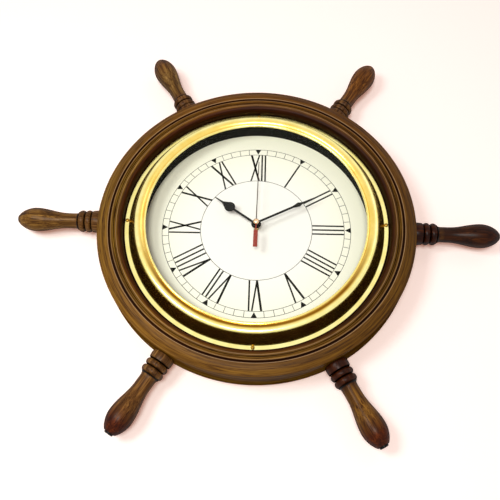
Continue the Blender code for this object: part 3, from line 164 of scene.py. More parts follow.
# Grain and stain of the wood, mm
RIM_GRAIN_LENGTH = 45.0
RIM_GRAIN_WIDTH = 1.2
HANDLE_GRAIN_LENGTH = 40.0
HANDLE_GRAIN_WIDTH = 1.5
# The handles' blanks lie this far apart in the grain pattern, so that no two are alike
BLANK_STEP = 7.3
# Half widths of the dark in the reeds' notches: stain and painted shade
NOTCH_STAIN_AND_SHADE_HALVES = (0.3, 1.0, 0.3)
# Half width of the pale lines along the arrises: bare wood and painted highlight
RUB_AND_HIGHLIGHT_HALF = 0.7
FRONT_FADE = 8.0
# Middles of the handle's valleys, where the stain pools and painted shade darkens them
HANDLE_VALLEYS = (11.1, 19.7, 29.2)
POOL_AND_SHADE_HALF = 0.5
POOL_AND_SHADE_EDGE = 1.4
# Tone by the angle anticlockwise from three o'clock: uneven stain of the boards, and painted shade that
# darkens the right
RIM_STAIN_AND_SHADE_TONES = ((-180, "#E9F4F6"), (-131, "#FBFFFE"), (-71, "#D2D2D2"), (-11, "#B3B3A9"), (49, "#B8AC9C"),
             (109, "#DCD1BA"), (169, "#E5F1F4"), (180, "#E9F4F6"))
# Stain of each handle's blank, counted anticlockwise from three o'clock
HANDLE_STAINS = ("#825F40", "#FFDEAB", "#FBFFEE", "#FAF3CC", "#F6E7D2", "#EDDC9F")
# How far the dark stain pooled over the beads and over the tip of each handle
BEAD_SHARES = (1.0, 0.4, 0.5, 0.1, 0.1, 1.0)
TIP_SHARES = (0.5, 0.0, 0.6, 0.0, 1.0, 1.0)

# Screws, mm; turns in radians, because each screw was driven home to an angle of its own
HEAD_RADIUS = 2.4
HEAD_HEIGHT = 1.6
HEAD_RIM = 0.2
SHANK_RADIUS = 1.2
SHANK_LENGTH = 11.7
SHANK_POINT = 1.0
SLOT_WIDTH = 0.7
SLOT_LENGTH = 6.0
SLOT_DEPTH = 0.8
CROSS_LENGTH = 2.6
CROSS_DEPTH = 0.9
SCREW_CIRCLE = 162.2
BOARD_SCREW_CIRCLE = 151.2
FIRST_SLOT_TURN = 0.5
SLOT_TURN = 1.3
CROSS_TURN = 0.4

# Brass bezel, mm; the hollow is the share of its fall by which the cone sags
LIP_RADIUS = 136.5
LIP_BOTTOM = GLASS_FRONT + SEAT_GAP
ROLL_MIDDLE = 138.0
ROLL_HALF = 1.5
ROLL_RISE = 1.2
ROLL_LIFT = 0.3
BEAD_MIDDLE = 146.4
BEAD_INNER_HALF = 7.2
BEAD_OUTER_HALF = 4.1
BEAD_RISE = 3.3
CONE_BASE_RADIUS = 159.3
CONE_HOLLOW = 0.31
FLANGE_TOP = BEZEL_SCREW_TOP - HEAD_HEIGHT - SEAT_GAP
# Points of the bend between cone and flange: how far out from the cone's foot, how far above the flange
FLANGE_BEND = ((0.25, 0.3), (0.6, 0.0))
SHEET = 1.0
TURNING_PITCH = 0.4

# Glass, dial and backboard, mm
GLASS_ARRIS = 0.2
DIAL_OPENING = 143.0
DIAL_BORE = 3.1
BOARD_BORE = 4.3
SINK_RADIUS = 7.3
SINK_DEPTH = 2.6

# Dial print, mm
PRINT_HEIGHT = 0.04
NUMERAL_INNER = 71.6
NUMERAL_OUTER = 111.6
STROKE = 2.1
HEAVY_STROKE = 2.8
TRACK_INNER = 112.0
TRACK_OUTER = 120.2
CHAPTER_CIRCLE = 71.2
TRACK_LINE = 0.62
TRIANGLE_HALF = 3.9
TRIANGLE_TIP = 112.8

# Hands, mm; turns in degrees clockwise from twelve
HAND_THICKNESS = 0.5
HAND_EDGE = 0.14
HAND_EDGE_ANGLE = 50
HOUR_TURN = 305.25
MINUTE_TURN = 63.0
SECOND_TURN = 1.0
HOUR_HAND = {"length": 65.5, "disc_place": 42.0, "disc_radius": 6.9, "stem": 3.0, "boss_radius": 6.2}
MINUTE_HAND = {"length": 84.0, "disc_place": 60.0, "disc_radius": 3.1, "stem": 2.9, "boss_radius": 5.0,
               "flare": 8.0}
# The tip starts at this many disc radii above the disc and narrows from one share of the stem to the other
TIP_FOOT = 1.65
TIP_FOOT_SHARE = 0.9
TIP_END_SHARE = 0.4
DISC_END_ANGLE = 45
FLARED_DISC_START = -25
SECOND_LENGTH = 88.0
SECOND_TIP_HALF = 0.5
SECOND_STEM_HALF = 0.8
SECOND_BOSS_RADIUS = 3.2
SECOND_BOSS_ANGLE = 79
TAIL_HALF = 2.7
TAIL_START = 12.0
TAIL_END = 35.0
RED_END = 3.0
DARK_START = 4.5
CAP_RIM = 0.3

# Stage, m
SHEET_REACH = 4
FLOOR_HEIGHT = -1.2
WALL_GAP = 0.6 * MM


# Materials

def linear(colour):
    """Linear colour of an sRGB hex value."""
    channels = [int(colour[i:i + 2], 16) / 255 for i in (1, 3, 5)]
    return (*[c / 12.92 if c <= 0.04045 else ((c + 0.055) / 1.055) ** 2.4 for c in channels], 1.0)


def fill(tree, node, inputs):
    """Set a node's inputs: each is a value or another node's output."""
    for name, value in inputs.items():
        if isinstance(value, bpy.types.NodeSocket):
            tree.links.new(value, node.inputs[name])
        else:
            node.inputs[name].default_value = value


def add(tree, kind, inputs=None, stops=None, **settings):
    """Add a node with its settings and inputs; stops are the colours of a ramp."""
    node = tree.nodes.new(kind)
    for name, value in settings.items():
        setattr(node, name, value)
    fill(tree, node, inputs or {})
    for number, (place, colour) in enumerate(stops or []):
        if number > 1:
            node.color_ramp.elements.new(place)
        node.color_ramp.elements[number].position = place
        node.color_ramp.elements[number].color = linear(colour)
    return node


def surface(name):
    """A new material with its tree and its Principled shader."""
    made = bpy.data.materials.new(name)
    made.use_nodes = True
    return made, made.node_tree, made.node_tree.nodes["Principled BSDF"]


def emptied(holder):
    """The node tree of a material or a world, switched on and cleared."""
    holder.use_nodes = True
    holder.node_tree.nodes.clear()
    return holder.node_tree


def outward(tree):
    """Place on the object, the vector from the dial's centre flat on the wall, and that vector's length."""
    spot = add(tree, "ShaderNodeTexCoord").outputs["Object"]
    from_centre = add(tree, "ShaderNodeVectorMath", {0: spot, 1: DIAL_CENTRE}, operation="SUBTRACT")
    flat = add(tree, "ShaderNodeVectorMath", {0: from_centre.outputs[0], 1: (1.0, 0.0, 1.0)},
               operation="MULTIPLY")
    length = add(tree, "ShaderNodeVectorMath", {0: flat.outputs[0]}, operation="LENGTH")
    return spot, flat.outputs[0], length.outputs["Value"]


def bearing(tree, flat):
    """Direction outward from the dial's centre: X is its part to the right, Z its part up."""
    direction = add(tree, "ShaderNodeVectorMath", {0: flat}, operation="NORMALIZE")
    return add(tree, "ShaderNodeSeparateXYZ", {"Vector": direction.outputs[0]}).outputs


def banded(tree, place, bands, unit=MM, start=0.0):
    """Colours by place: a band is a distance in mm from start, or an angle in degrees, and its colour."""
    low, high = bands[0][0], bands[-1][0]
    share = add(tree, "ShaderNodeMapRange", {
        "Value": place, "From Min": (start + low) * unit, "From Max": (start + high) * unit})
    stops = [((distance - low) / (high - low), colour) for distance, colour in bands]
    return add(tree, "ShaderNodeValToRGB", {"Fac": share.outputs["Result"]}, stops=stops).outputs["Color"]


def coated(tree, colour, *coats):
    """Lay coats over a colour like stains: a coat is a colour that darkens it, and the share that took."""
    for coat, share in coats:
        laid = add(tree, "ShaderNodeMix", {"Factor": share, "A": colour, "B": coat}, data_type="RGBA",
                   blend_type="MULTIPLY")
        colour = laid.outputs["Result"]
    return colour


def fine_relief(tree, place, size, strength, depth=0.05, detail=3.0):
    """The slight unevenness of a finish: size is its grain in mm, depth how far it goes in, in mm."""
    grain = add(tree, "ShaderNodeTexNoise", {"Vector": place, "Scale": 1 / (size * MM), "Detail": detail})
    return add(tree, "ShaderNodeBump", {
        "Height": grain.outputs["Fac"], "Strength": strength, "Distance": depth * MM}).outputs["Normal"]


def grained_wood(tree, shader, place, depth, stain, colours, pores, roughness, bump, wear_and_sheen=0.0):
    """Open-pored wood: colour streaks with fine dark pores along the grain, stained, under a thin lacquer.

    Place counts in grain lengths along the grain and in grain widths across it.  Depth is a fourth
    coordinate that tells one layer or one blank from the next.  The share wear_and_sheen lays paler wood
    over the colour: bare wood where the lacquer is gone from the arrises, and painted highlight.
    """
    streaks = add(tree, "ShaderNodeTexNoise", {
        "Vector": place, "W": depth, "Scale": 0.35, "Detail": 4.0, "Roughness": 0.62,
        "Distortion": 0.4}, noise_dimensions="4D")
    finer = add(tree, "ShaderNodeVectorMath", {0: place, 1: (1.5, 2.0, 2.0)}, operation="MULTIPLY")
    pore_place = add(tree, "ShaderNodeTexNoise", {
        "Vector": finer.outputs[0], "W": depth, "Scale": 1.0, "Detail": 2.0,
        "Roughness": 0.6}, noise_dimensions="4D")
    body = add(tree, "ShaderNodeValToRGB", {"Fac": streaks.outputs["Fac"]}, stops=colours)
    pore = add(tree, "ShaderNodeValToRGB", {"Fac": pore_place.outputs["Fac"]}, stops=pores)
    stained = coated(tree, body.outputs["Color"], (pore.outputs["Color"], 1.0), (stain, 1.0))
    # Paler wood laid on by that share: bare wood and painted highlight along the arrises
    rubbed_and_highlit = add(tree, "ShaderNodeMix", {"Factor": wear_and_sheen, "A": stained, "B": linear("#C09A72")},
                 data_type="RGBA")
    # The open grain swallows the gloss where the eye meets it at a low angle
    graze = add(tree, "ShaderNodeLayerWeight", {"Blend": 0.5})
    gloss = add(tree, "ShaderNodeMapRange", {
        "Value": graze.outputs["Facing"], "From Min": 0.4, "From Max": 0.75, "To Min": 0.1, "To Max": 0.0})
    relief = add(tree, "ShaderNodeBump", {
        "Height": pore_place.outputs["Fac"], "Strength": bump, "Distance": 0.3 * MM})
    fill(tree, shader, {
        "Base Color": rubbed_and_highlit.outputs["Result"], "Roughness": roughness, "IOR": 1.5,
        "Specular IOR Level": gloss.outputs["Result"], "Normal": relief.outputs["Normal"]})


def stained_rim_wood():
    """Sheesham-like hardwood, turned on the faceplate, stained and wiped with semi-gloss lacquer.

    Grain streaks run round the rim, 45 mm long and 1.2 mm wide, which gives fine lines along the curve.
    Cove, notches and groove are darker: stain and painted shade in the hollows. The arrises beside them are
    paler: bare wood showing through, and painted highlight.
    """
    made, tree, shader = surface("stained_turned_rim_wood")
    spot, flat, radius = outward(tree)
    parts = bearing(tree, flat)
    split = add(tree, "ShaderNodeSeparateXYZ", {"Vector": spot})
    lengths, widths = RIM_RADIUS / RIM_GRAIN_LENGTH, 1 / (RIM_GRAIN_WIDTH * MM)
    right, up, out, depth = [
        add(tree, "ShaderNodeMath", {0: value, 1: scale}, operation="MULTIPLY").outputs[0]
        for value, scale in ((parts["X"], lengths), (parts["Z"], lengths), (radius, widths),
                             (split.outputs["Y"], widths))]
    grain = add(tree, "ShaderNodeCombineXYZ", {"X": right, "Y": up, "Z": out})
    turn = add(tree, "ShaderNodeMath", {0: parts["Z"], 1: parts["X"]}, operation="ARCTAN2")
    # From the cove outward; what is added to a radius or taken off it is the fade between two bands
    # The dark bands in cove, notches and groove are stain and painted shade in the hollows; the pale bands
    # beside them are painted highlight
    pooled_stain_and_shade, cove, shaded, reed = "#4A2A14", "#8E6234", "#8C7058", "#C4AE98"
    worn_and_highlit, groove, band = "#FFF6EA", "#6E4A30", "#E4D4C4"
    bands = [(RECESS_RADIUS, pooled_stain_and_shade), (COVE_OUTER - 1.0, cove), (COVE_OUTER + 0.4, reed),
             (BAND_OUTER - 0.6, worn_and_highlit)]
    for notch, dark, half in zip(reversed(REED_NOTCHES), (shaded, pooled_stain_and_shade, shaded), NOTCH_STAIN_AND_SHADE_HALVES):
        bands += [(notch - half, worn_and_highlit), (notch, dark), (notch + half, worn_and_highlit)]
    bands += [(GROOVE_INNER - 0.5, worn_and_highlit), (GROOVE_INNER, groove), (GROOVE_OUTER, groove),
              (GROOVE_OUTER + 0.5, worn_and_highlit), (GROOVE_OUTER + 1.5, band), (RIM_RADIUS - EDGE_ROUND, band)]
    # The coves and grooves are on the front only, so the bands fade out towards the plain back
    front = add(tree, "ShaderNodeMapRange", {
        "Value": split.outputs["Y"], "From Min": -BOARD_FRONT * MM,
        "From Max": -(BOARD_FRONT + FRONT_FADE) * MM}).outputs["Result"]
    # Paler on the left and darker on the right round the rim: the boards' uneven stain and painted shade
    stain_and_shade_tones = banded(tree, turn.outputs[0], RIM_STAIN_AND_SHADE_TONES, math.radians(1))
    stain = coated(tree, stain_and_shade_tones, (banded(tree, radius, bands), front))
    # Black is lacquer that was kept; paler is wood that shows through, with painted highlight along the
    # arrises
    kept, half_rubbed_and_highlit, rubbed_and_highlit = "#000000", "#A0A0A0", "#D2D2D2"
    arrises = []
    for arris, paler in ((BAND_OUTER + 0.1, rubbed_and_highlit), (GROOVE_INNER - 0.6, half_rubbed_and_highlit),
                         (GROOVE_OUTER + 0.6, rubbed_and_highlit)):
        arrises += [(arris - RUB_AND_HIGHLIGHT_HALF, kept), (arris, paler), (arris + RUB_AND_HIGHLIGHT_HALF, kept)]
    wear_and_sheen = coated(tree, banded(tree, radius, arrises), (front, 1.0))
    grained_wood(tree, shader, grain.outputs[0], depth, stain, roughness=0.45, bump=0.3, wear_and_sheen=wear_and_sheen,
                 colours=[(0.32, "#5D3F12"), (0.5, "#8C6423"), (0.68, "#AC8234")],
                 pores=[(0.36, "#8A7256"), (0.5, "#FFFFFF")])
    return made


def stained_handle_wood(number, angle):
    """The same hardwood, turned between centres and stained darker under gloss lacquer.

    Grain runs along the handle, 40 mm long and 1.5 mm wide: long dark and light streaks on a glossy body.
    Dark at the foot, in the valleys and at the nub: stain that pools there, and painted shade. On some the
    stain is also darker over beads and tip.
    """
    made, tree, shader = surface(f"stained_turned_handle_wood_{number}")
    spot = add(tree, "ShaderNodeTexCoord")
    level = add(tree, "ShaderNodeVectorRotate", {
        "Vector": spot.outputs["Object"], "Angle": angle, "Center": DIAL_CENTRE}, rotation_type="Y_AXIS")
    width = 1 / (HANDLE_GRAIN_WIDTH * MM)
    grain = add(tree, "ShaderNodeMapping", {
        "Vector": level.outputs[0], "Scale": (1 / (HANDLE_GRAIN_LENGTH * MM), width, width)})
    along = add(tree, "ShaderNodeSeparateXYZ", {"Vector": level.outputs[0]}).outputs["X"]
    # What is added to a distance or taken off it is the fade between two bands
    # Dark at the foot, in the valleys and at the nub: stain that pools there, and painted shade
    pooled_stain_and_shade, worn_and_highlit, body = "#24120C", "#FFF6EA", HANDLE_STAINS[number - 1]
    bands = [(0.0, pooled_stain_and_shade), (1.5, worn_and_highlit)]
    for valley in HANDLE_VALLEYS:
        bands += [(valley - POOL_AND_SHADE_EDGE, worn_and_highlit), (valley - POOL_AND_SHADE_HALF, pooled_stain_and_shade), (valley + POOL_AND_SHADE_HALF, pooled_stain_and_shade),
                  (valley + POOL_AND_SHADE_EDGE, worn_and_highlit)]
    bands += [(NECK_START + 4, body), (DOME_END - 0.5, body), (DOME_END + 0.3, pooled_stain_and_shade),
              (HANDLE_LENGTH, pooled_stain_and_shade)]
    beads = [(0.0, "#82593F"), (NECK_START - 5, "#82593F"), (NECK_START + 5, "#FFFFFF")]
    tip = [(BULB_PLACE - 14, "#FFFFFF"), (BULB_PLACE + 8, "#B87C61")]
    stain, on_beads, on_tip = [banded(tree, along, each, start=RIM_RADIUS) for each in (bands, beads, tip)]
    stain = coated(tree, stain, (on_beads, BEAD_SHARES[number - 1]), (on_tip, TIP_SHARES[number - 1]))
    grained_wood(tree, shader, grain.outputs[0], BLANK_STEP * number, stain, roughness=0.32, bump=0.1,
                 colours=[(0.32, "#3C240F"), (0.5, "#6C4A24"), (0.68, "#A07844")],
                 pores=[(0.36, "#8E7862"), (0.5, "#FFFFFF")])
    return made


def polished_brass():
    """Yellow brass sheet, spun and polished, then lacquered.

    Faint turning lines run round the ring, 0.4 mm apart, under clouds about 17 mm across.  The bead stays
    bright; the roll is warmer and the cone browner: painted dark reflection, with some tarnish.
    """
    made, tree, shader = surface("spun_polished_brass")
    spot, flat, radius = outward(tree)
    lines = add(tree, "ShaderNodeTexNoise", {"W": radius, "Scale": 1 / (TURNING_PITCH * MM), "Detail": 2.0},
                noise_dimensions="1D")
    cloud = add(tree, "ShaderNodeTexNoise", {"Vector": spot, "Scale": 60.0, "Detail": 3.0})
    clean = add(tree, "ShaderNodeValToRGB", {"Fac": cloud.outputs["Fac"]},
                stops=[(0.35, "#F7E68C"), (0.65, "#FDF1A4")])
    # Warmer roll and browner cone: painted dark reflection, with tarnish; white leaves the brass as it is
    bright, warm, fold, cone = "#FFFFFF", "#FCE8C0", "#94702E", "#B89C70"
    outer = BEAD_MIDDLE + BEAD_OUTER_HALF
    tarnish_and_reflection = banded(tree, radius, [(LIP_RADIUS, bright), (ROLL_MIDDLE + ROLL_HALF, warm),
                                    (BEAD_MIDDLE - 2.4, warm), (BEAD_MIDDLE, bright), (outer - 0.4, bright),
                                    (outer + 0.4, cone), (CONE_BASE_RADIUS - 1.0, cone),
                                    (CONE_BASE_RADIUS + 0.4, bright), (FLANGE_RADIUS, bright)])
    hollow_tarnish_and_reflection = banded(tree, radius, [(ROLL_MIDDLE + 0.6, bright), (ROLL_MIDDLE + 2.8, fold),
                                   (BEAD_MIDDLE - 3.6, fold), (BEAD_MIDDLE - 1.4, bright)])
    # The hollow between roll and bead is darker, more so in its lower half: tarnish in the hollow, and
    # painted dark reflection below
    darker_below = add(tree, "ShaderNodeMapRange", {
        "Value": bearing(tree, flat)["Z"], "From Min": -0.15, "From Max": -0.65})
    tint = coated(tree, clean.outputs["Color"], (tarnish_and_reflection, 1.0), (hollow_tarnish_and_reflection, darker_below.outputs["Result"]))
    wear_and_sheen = add(tree, "ShaderNodeMapRange", {"Value": cloud.outputs["Fac"], "To Min": 0.16, "To Max": 0.26})
    relief = add(tree, "ShaderNodeBump", {
        "Height": lines.outputs["Fac"], "Strength": 0.10, "Distance": 0.05 * MM})
    fill(tree, shader, {
        "Base Color": tint, "Metallic": 1.0, "Roughness": wear_and_sheen.outputs["Result"],
        "Normal": relief.outputs["Normal"]})
    return made


def speckled(name, colours, roughness, size, bump, metallic=0.0, specular=0.5, coat=(0.0, 0.1)):
    """A finish with an even fine texture: size is its grain in mm, coat the weight and roughness of a gloss.

    Tone and roughness drift in clouds twelve grains across.
    """
    made, tree, shader = surface(name)
    spot = add(tree, "ShaderNodeTexCoord").outputs["Object"]
    cloud = add(tree, "ShaderNodeTexNoise", {"Vector": spot, "Scale": 1 / (12 * size * MM), "Detail": 2.0})
    tint = add(tree, "ShaderNodeValToRGB", {"Fac": cloud.outputs["Fac"]},
               stops=[(0.35, colours[0]), (0.65, colours[1])])
    shine = add(tree, "ShaderNodeMapRange", {
        "Value": cloud.outputs["Fac"], "To Min": roughness - 0.05, "To Max": roughness + 0.05})
    fill(tree, shader, {
        "Base Color": tint.outputs["Color"], "Metallic": metallic, "Roughness": shine.outputs["Result"],
        "Specular IOR Level": specular, "Coat Weight": coat[0], "Coat Roughness": coat[1],
        "Normal": fine_relief(tree, spot, size, bump)})
    return made


def clear_glass():
    """Flat float glass, 2 mm: clear from the front, with the sharp reflection of a polished sheet."""
    made = bpy.data.materials.new("clear_float_glass")
    tree = emptied(made)
    # Real glass has 1.52; this is lower because the pane in the photograph shows hardly any reflection
    edge = add(tree, "ShaderNodeFresnel", {"IOR": 1.16})
    side = add(tree, "ShaderNodeNewGeometry")
    front = add(tree, "ShaderNodeMath", {0: edge.outputs[0], 1: side.outputs["Backfacing"]},
                operation="SUBTRACT", use_clamp=True)
    through = add(tree, "ShaderNodeBsdfTransparent", {"Color": linear("#FFFFFF")})
    mirror = add(tree, "ShaderNodeBsdfGlossy", {"Roughness": 0.02})
    both = add(tree, "ShaderNodeMixShader", {
        0: front.outputs[0], 1: through.outputs[0], 2: mirror.outputs[0]})
    add(tree, "ShaderNodeOutputMaterial", {"Surface": both.outputs[0]})
    return made


def dipped_enamel():
    """Enamel on stamped aluminium: a dull red tail, and a needle in near-black, semi-gloss."""
    made, tree, shader = surface("dipped_enamel_second_hand")
    spot = add(tree, "ShaderNodeTexCoord").outputs["Object"]
    split = add(tree, "ShaderNodeSeparateXYZ", {"Vector": spot})
    above = add(tree, "ShaderNodeMath", {0: split.outputs["Z"], 1: CENTRE_HEIGHT}, operation="SUBTRACT")
    red, dark = "#953D30", "#3A2418"
    tint = banded(tree, above.outputs[0], [(-TAIL_END - 1.0, red), (RED_END, red), (DARK_START, dark),
                                           (SECOND_LENGTH + 2.0, dark)])
    fill(tree, shader, {
        "Base Color": tint, "Roughness": 0.4, "Specular IOR Level": 0.3,
        "Normal": fine_relief(tree, spot, 0.5, 0.05)})
    return made


def ivory_dial():
    """Ivory paint on aluminium sheet: white at the centre, creamier towards the track."""
    made, tree, shader = surface("ivory_painted_dial")
    spot, flat, radius = outward(tree)
    share = add(tree, "ShaderNodeMath", {0: radius, 1: DIAL_RADIUS * MM}, operation="DIVIDE")
    tint = add(tree, "ShaderNodeValToRGB", {"Fac": share.outputs[0]},
               stops=[(0.45, "#FFFFF6"), (1.0, "#FFFFE4")])
    fill(tree, shader, {
        "Base Color": tint.outputs["Color"], "Roughness": 0.55,
        "Normal": fine_relief(tree, spot, 0.8, 0.05, depth=0.03, detail=2.0)})
    return made


# Meshes

def placed(name, data):
    """A new object in the scene."""
    item = bpy.data.objects.new(name, data)
    bpy.context.scene.collection.objects.link(item)
    return item


def piece(name, bm, finish, node=None, body="clock", sharp=SHARP_ANGLE):
    """Stand a mesh drawn in the clock's frame up as one piece that rides on a body and replaces its node."""
    bmesh.ops.remove_doubles(bm, verts=bm.verts, dist=0.0005)
    bmesh.ops.recalc_face_normals(bm, faces=bm.faces)
    mesh = bpy.data.meshes.new(name)
    bm.to_mesh(mesh)
    bm.free()
    mesh.transform(STAND)
    mesh.shade_smooth()
    mesh.set_sharp_from_angle(angle=math.radians(sharp))
    item = placed(name, mesh)
    item.data.materials.append(finish)
    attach(item, body)
    if node:
        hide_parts(node)
    return item


def turned(profile, steps, closed=False):
    """Turn a profile of (radius, height) points about the clock's axis."""
    bm = bmesh.new()
    points = [bm.verts.new((radius, 0.0, height)) for radius, height in profile]
    edges = [bm.edges.new(pair) for pair in zip(points, points[1:])]
    if closed:
        edges.append(bm.edges.new((points[-1], points[0])))
    bmesh.ops.spin(bm, geom=points + edges, cent=(0, 0, 0), axis=(0, 0, 1), dvec=(0, 0, 0),
                   angle=2 * math.pi, steps=steps, use_merge=True, use_duplicate=False)
    return bm


def arc(centre, radii, start, end, steps):
    """Points of an elliptical arc, angles in degrees."""
    angles = [math.radians(start + (end - start) * i / steps) for i in range(steps + 1)]
    return [(centre[0] + radii[0] * math.cos(a), centre[1] + radii[1] * math.sin(a)) for a in angles]


def shares(steps, first=0):
    """Even shares of a run up to its end, from the first step on."""
    return [i / steps for i in range(first, steps + 1)]


def mirrored(half):
    """A whole outline from its right-hand half."""
    return half + [(-x, y) for x, y in half[::-1]]


def plate(outline, low, high):
    """An outline drawn out between two heights."""
    bm = bmesh.new()
    face = bm.faces.new([bm.verts.new((x, y, low)) for x, y in outline])
    drawn = bmesh.ops.extrude_face_region(bm, geom=[face])
    bmesh.ops.translate(bm, verts=[v for v in drawn["geom"] if isinstance(v, bmesh.types.BMVert)],
                        vec=(0, 0, high - low))
    return bm


def modified(item):
    """Apply the item's modifiers to its mesh."""
    graph = bpy.context.evaluated_depsgraph_get()
    mesh = bpy.data.meshes.new_from_object(item.evaluated_get(graph))
    item.modifiers.clear()
    item.data = mesh


def cut(item, tools):
    """Cut the item with guide meshes drawn in the clock's frame, and apply the result."""
    for number, bm in enumerate(tools):
        bmesh.ops.recalc_face_normals(bm, faces=bm.faces)
        mesh = bpy.data.meshes.new(f"cutter_{number}")
        bm.to_mesh(mesh)
        bm.free()
        mesh.transform(STAND)
        guide = placed(f"cutter_{number}", mesh)
        step = item.modifiers.new("cut", "BOOLEAN")
        step.operation = "DIFFERENCE"
        step.object = guide
        step.solver = "EXACT"
        modified(item)
        bpy.data.objects.remove(guide)
    item.data.shade_smooth()
    item.data.set_sharp_from_angle(angle=math.radians(SHARP_ANGLE))


# Wooden wheel

def rim_profile():
    """Section of the rim: rounded back, crowned band, groove, reeds, inner band and the steep cove."""
    points = [(REBATE_RADIUS, 0.0)]
    points += arc((RIM_RADIUS - BACK_ROUND, BACK_ROUND), (BACK_ROUND, BACK_ROUND), -90, 0, steps=8)
    points += arc((RIM_RADIUS - EDGE_ROUND, EDGE_HEIGHT - EDGE_ROUND), (EDGE_ROUND, EDGE_ROUND), 0, 90,
                  steps=4)
    run = RIM_RADIUS - EDGE_ROUND - GROOVE_OUTER - GROOVE_LIP
    for share in shares(12, first=1):
        crown = BAND_CROWN * math.sin(math.pi * share)
        points.append((RIM_RADIUS - EDGE_ROUND - run * share,
                       EDGE_HEIGHT + (RIM_CREST - EDGE_HEIGHT) * share + crown))
    middle, floor = (GROOVE_OUTER + GROOVE_INNER) / 2, RIM_CREST - GROOVE_DEPTH
    points += [(GROOVE_OUTER, RIM_CREST - GROOVE_LIP), (middle + GROOVE_FLOOR_HALF, floor),
               (middle - GROOVE_FLOOR_HALF, floor), (GROOVE_INNER, RIM_CREST - ARRIS),
               (GROOVE_INNER - ARRIS, RIM_CREST)]
    outer = FLAT_REED_INNER
    for notch, following in zip(REED_NOTCHES, (*REED_NOTCHES[1:], None)):
        points += [(outer, RIM_CREST), (notch, RIM_CREST - NOTCH_DEPTH)]
        if following:
            middle, half = (notch + following) / 2, (notch - following) / 2 - ARRIS
            points += arc((middle, RIM_CREST - REED_ROUND), (half, REED_ROUND), 0, 180, steps=6)
            outer = middle - half
            points.pop()
    points += [(BAND_OUTER, RIM_CREST - ARRIS), (COVE_OUTER, COVE_TOP + ARRIS)]
    drop, width = COVE_TOP - SEAT_HEIGHT, COVE_OUTER - COVE_LEDGE - RECESS_RADIUS
    for share in shares(8):
        angle = math.radians(90 * share)
        points.append((RECESS_RADIUS + width * (1 - math.sin(angle)), SEAT_HEIGHT + drop * math.cos(angle)))
    points += [(BORE_RADIUS, SEAT_HEIGHT), (BORE_RADIUS, DIAL_BACK), (REBATE_RADIUS, DIAL_BACK)]
    return points


def make_rim():
    """The six segments are glued up and turned together, so one skin covers them, let in for the hanger."""
    rim = piece("wheel_rim_turned", turned(rim_profile(), WIDE_STEPS, closed=True), stained_rim_wood())
    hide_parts(*RIM_SEGMENTS)
    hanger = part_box("hanger_bracket")[1]
    half = hanger.x / MM + SEAT_GAP
    top = (hanger.z - CENTRE_HEIGHT) / MM + SEAT_GAP
    seat = [(-half, BORE_RADIUS), (half, BORE_RADIUS), (half, top), (-half, top)]
    cut(rim, [plate(seat, -CUT_OVERRUN, HANGER_FRONT + SEAT_GAP)])


def handle_profile():
    """Turned handle: tenon, collar, two beads, neck, bulb, dome and nub, as (radius, distance) points."""
    points = [(0.0, -TENON_LENGTH), (TENON_RADIUS, -TENON_LENGTH), (TENON_RADIUS, SEAT_GAP),
              (COLLAR_RADIUS - COLLAR_CHAMFER, SEAT_GAP)]
    for share in shares(8):
        crown = COLLAR_CROWN * math.sin(math.pi * (CROWN_START + CROWN_SPAN * share))
        points.append((COLLAR_RADIUS - COLLAR_CROWN + crown,
                       SEAT_GAP + ARRIS + (COLLAR_END - SEAT_GAP - ARRIS) * share))
    points.append((VALLEY_RADIUS, COLLAR_END + VALLEY_RUN))
    for middle, half, radius in HANDLE_BEADS:
        for angle in [math.radians(degrees) for degrees in range(10, 171, 16)]:
            points.append((VALLEY_RADIUS + (radius - VALLEY_RADIUS) * math.sin(angle) ** BEAD_FULLNESS,
                           middle - half * math.cos(angle)))
        points.append((VALLEY_RADIUS, middle + half + BEAD_REST))
    points += arc((NECK_RADIUS + NECK_FLARE, NECK_START), (NECK_FLARE, NECK_START - NECK_FOOT), -90, -180,
                  steps=6)
    for share in shares(16):
        blend = (1 - math.cos(math.pi * share)) / 2
        points.append((NECK_RADIUS + (BULB_RADIUS - NECK_RADIUS) * blend,
                       NECK_END + (BULB_PLACE - NECK_END) * share))
    shoulder = math.acos(DOME_END_RADIUS / BULB_RADIUS)
    for angle in [shoulder * share for share in shares(10, first=1)]:
        share = math.sin(angle) / math.sin(shoulder)
        straight = BULB_RADIUS + (DOME_END_RADIUS - BULB_RADIUS) * share
        taper = TIP_TAPER * share
        points.append((BULB_RADIUS * math.cos(angle) * (1 - taper) + straight * taper,
                       BULB_PLACE + (DOME_END - BULB_PLACE) * share))
    points += [(NUB_RADIUS, DOME_END), (NUB_RADIUS * NUB_SHOULDER_SHARE, HANDLE_LENGTH - NUB_ROUND),
               (NUB_RADIUS * NUB_FACE_SHARE, HANDLE_LENGTH), (0.0, HANDLE_LENGTH)]
    return points


def make_handles():
    """Six handles of one outline, each with the stain and grain of its own blank."""
    bm = turned(handle_profile(), HANDLE_STEPS)
    for number in range(1, HANDLE_COUNT + 1):
        angle = math.radians(HANDLE_LEAD + 360 / HANDLE_COUNT * (number - 1))
        foot = Vector((RIM_RADIUS * math.cos(angle), RIM_RADIUS * math.sin(angle), HANDLE_AXIS_HEIGHT))
        laid = Matrix.Rotation(angle, 4, "Z") @ Matrix.Rotation(math.radians(90), 4, "Y")
        copied = bm.copy()
        copied.transform(Matrix.Translation(foot) @ laid)
        piece(f"handle_{number}_turned", copied, stained_handle_wood(number, angle), f"handle_{number}",
              sharp=34)
    bm.free()


# Bezel, glass, spacer and dial

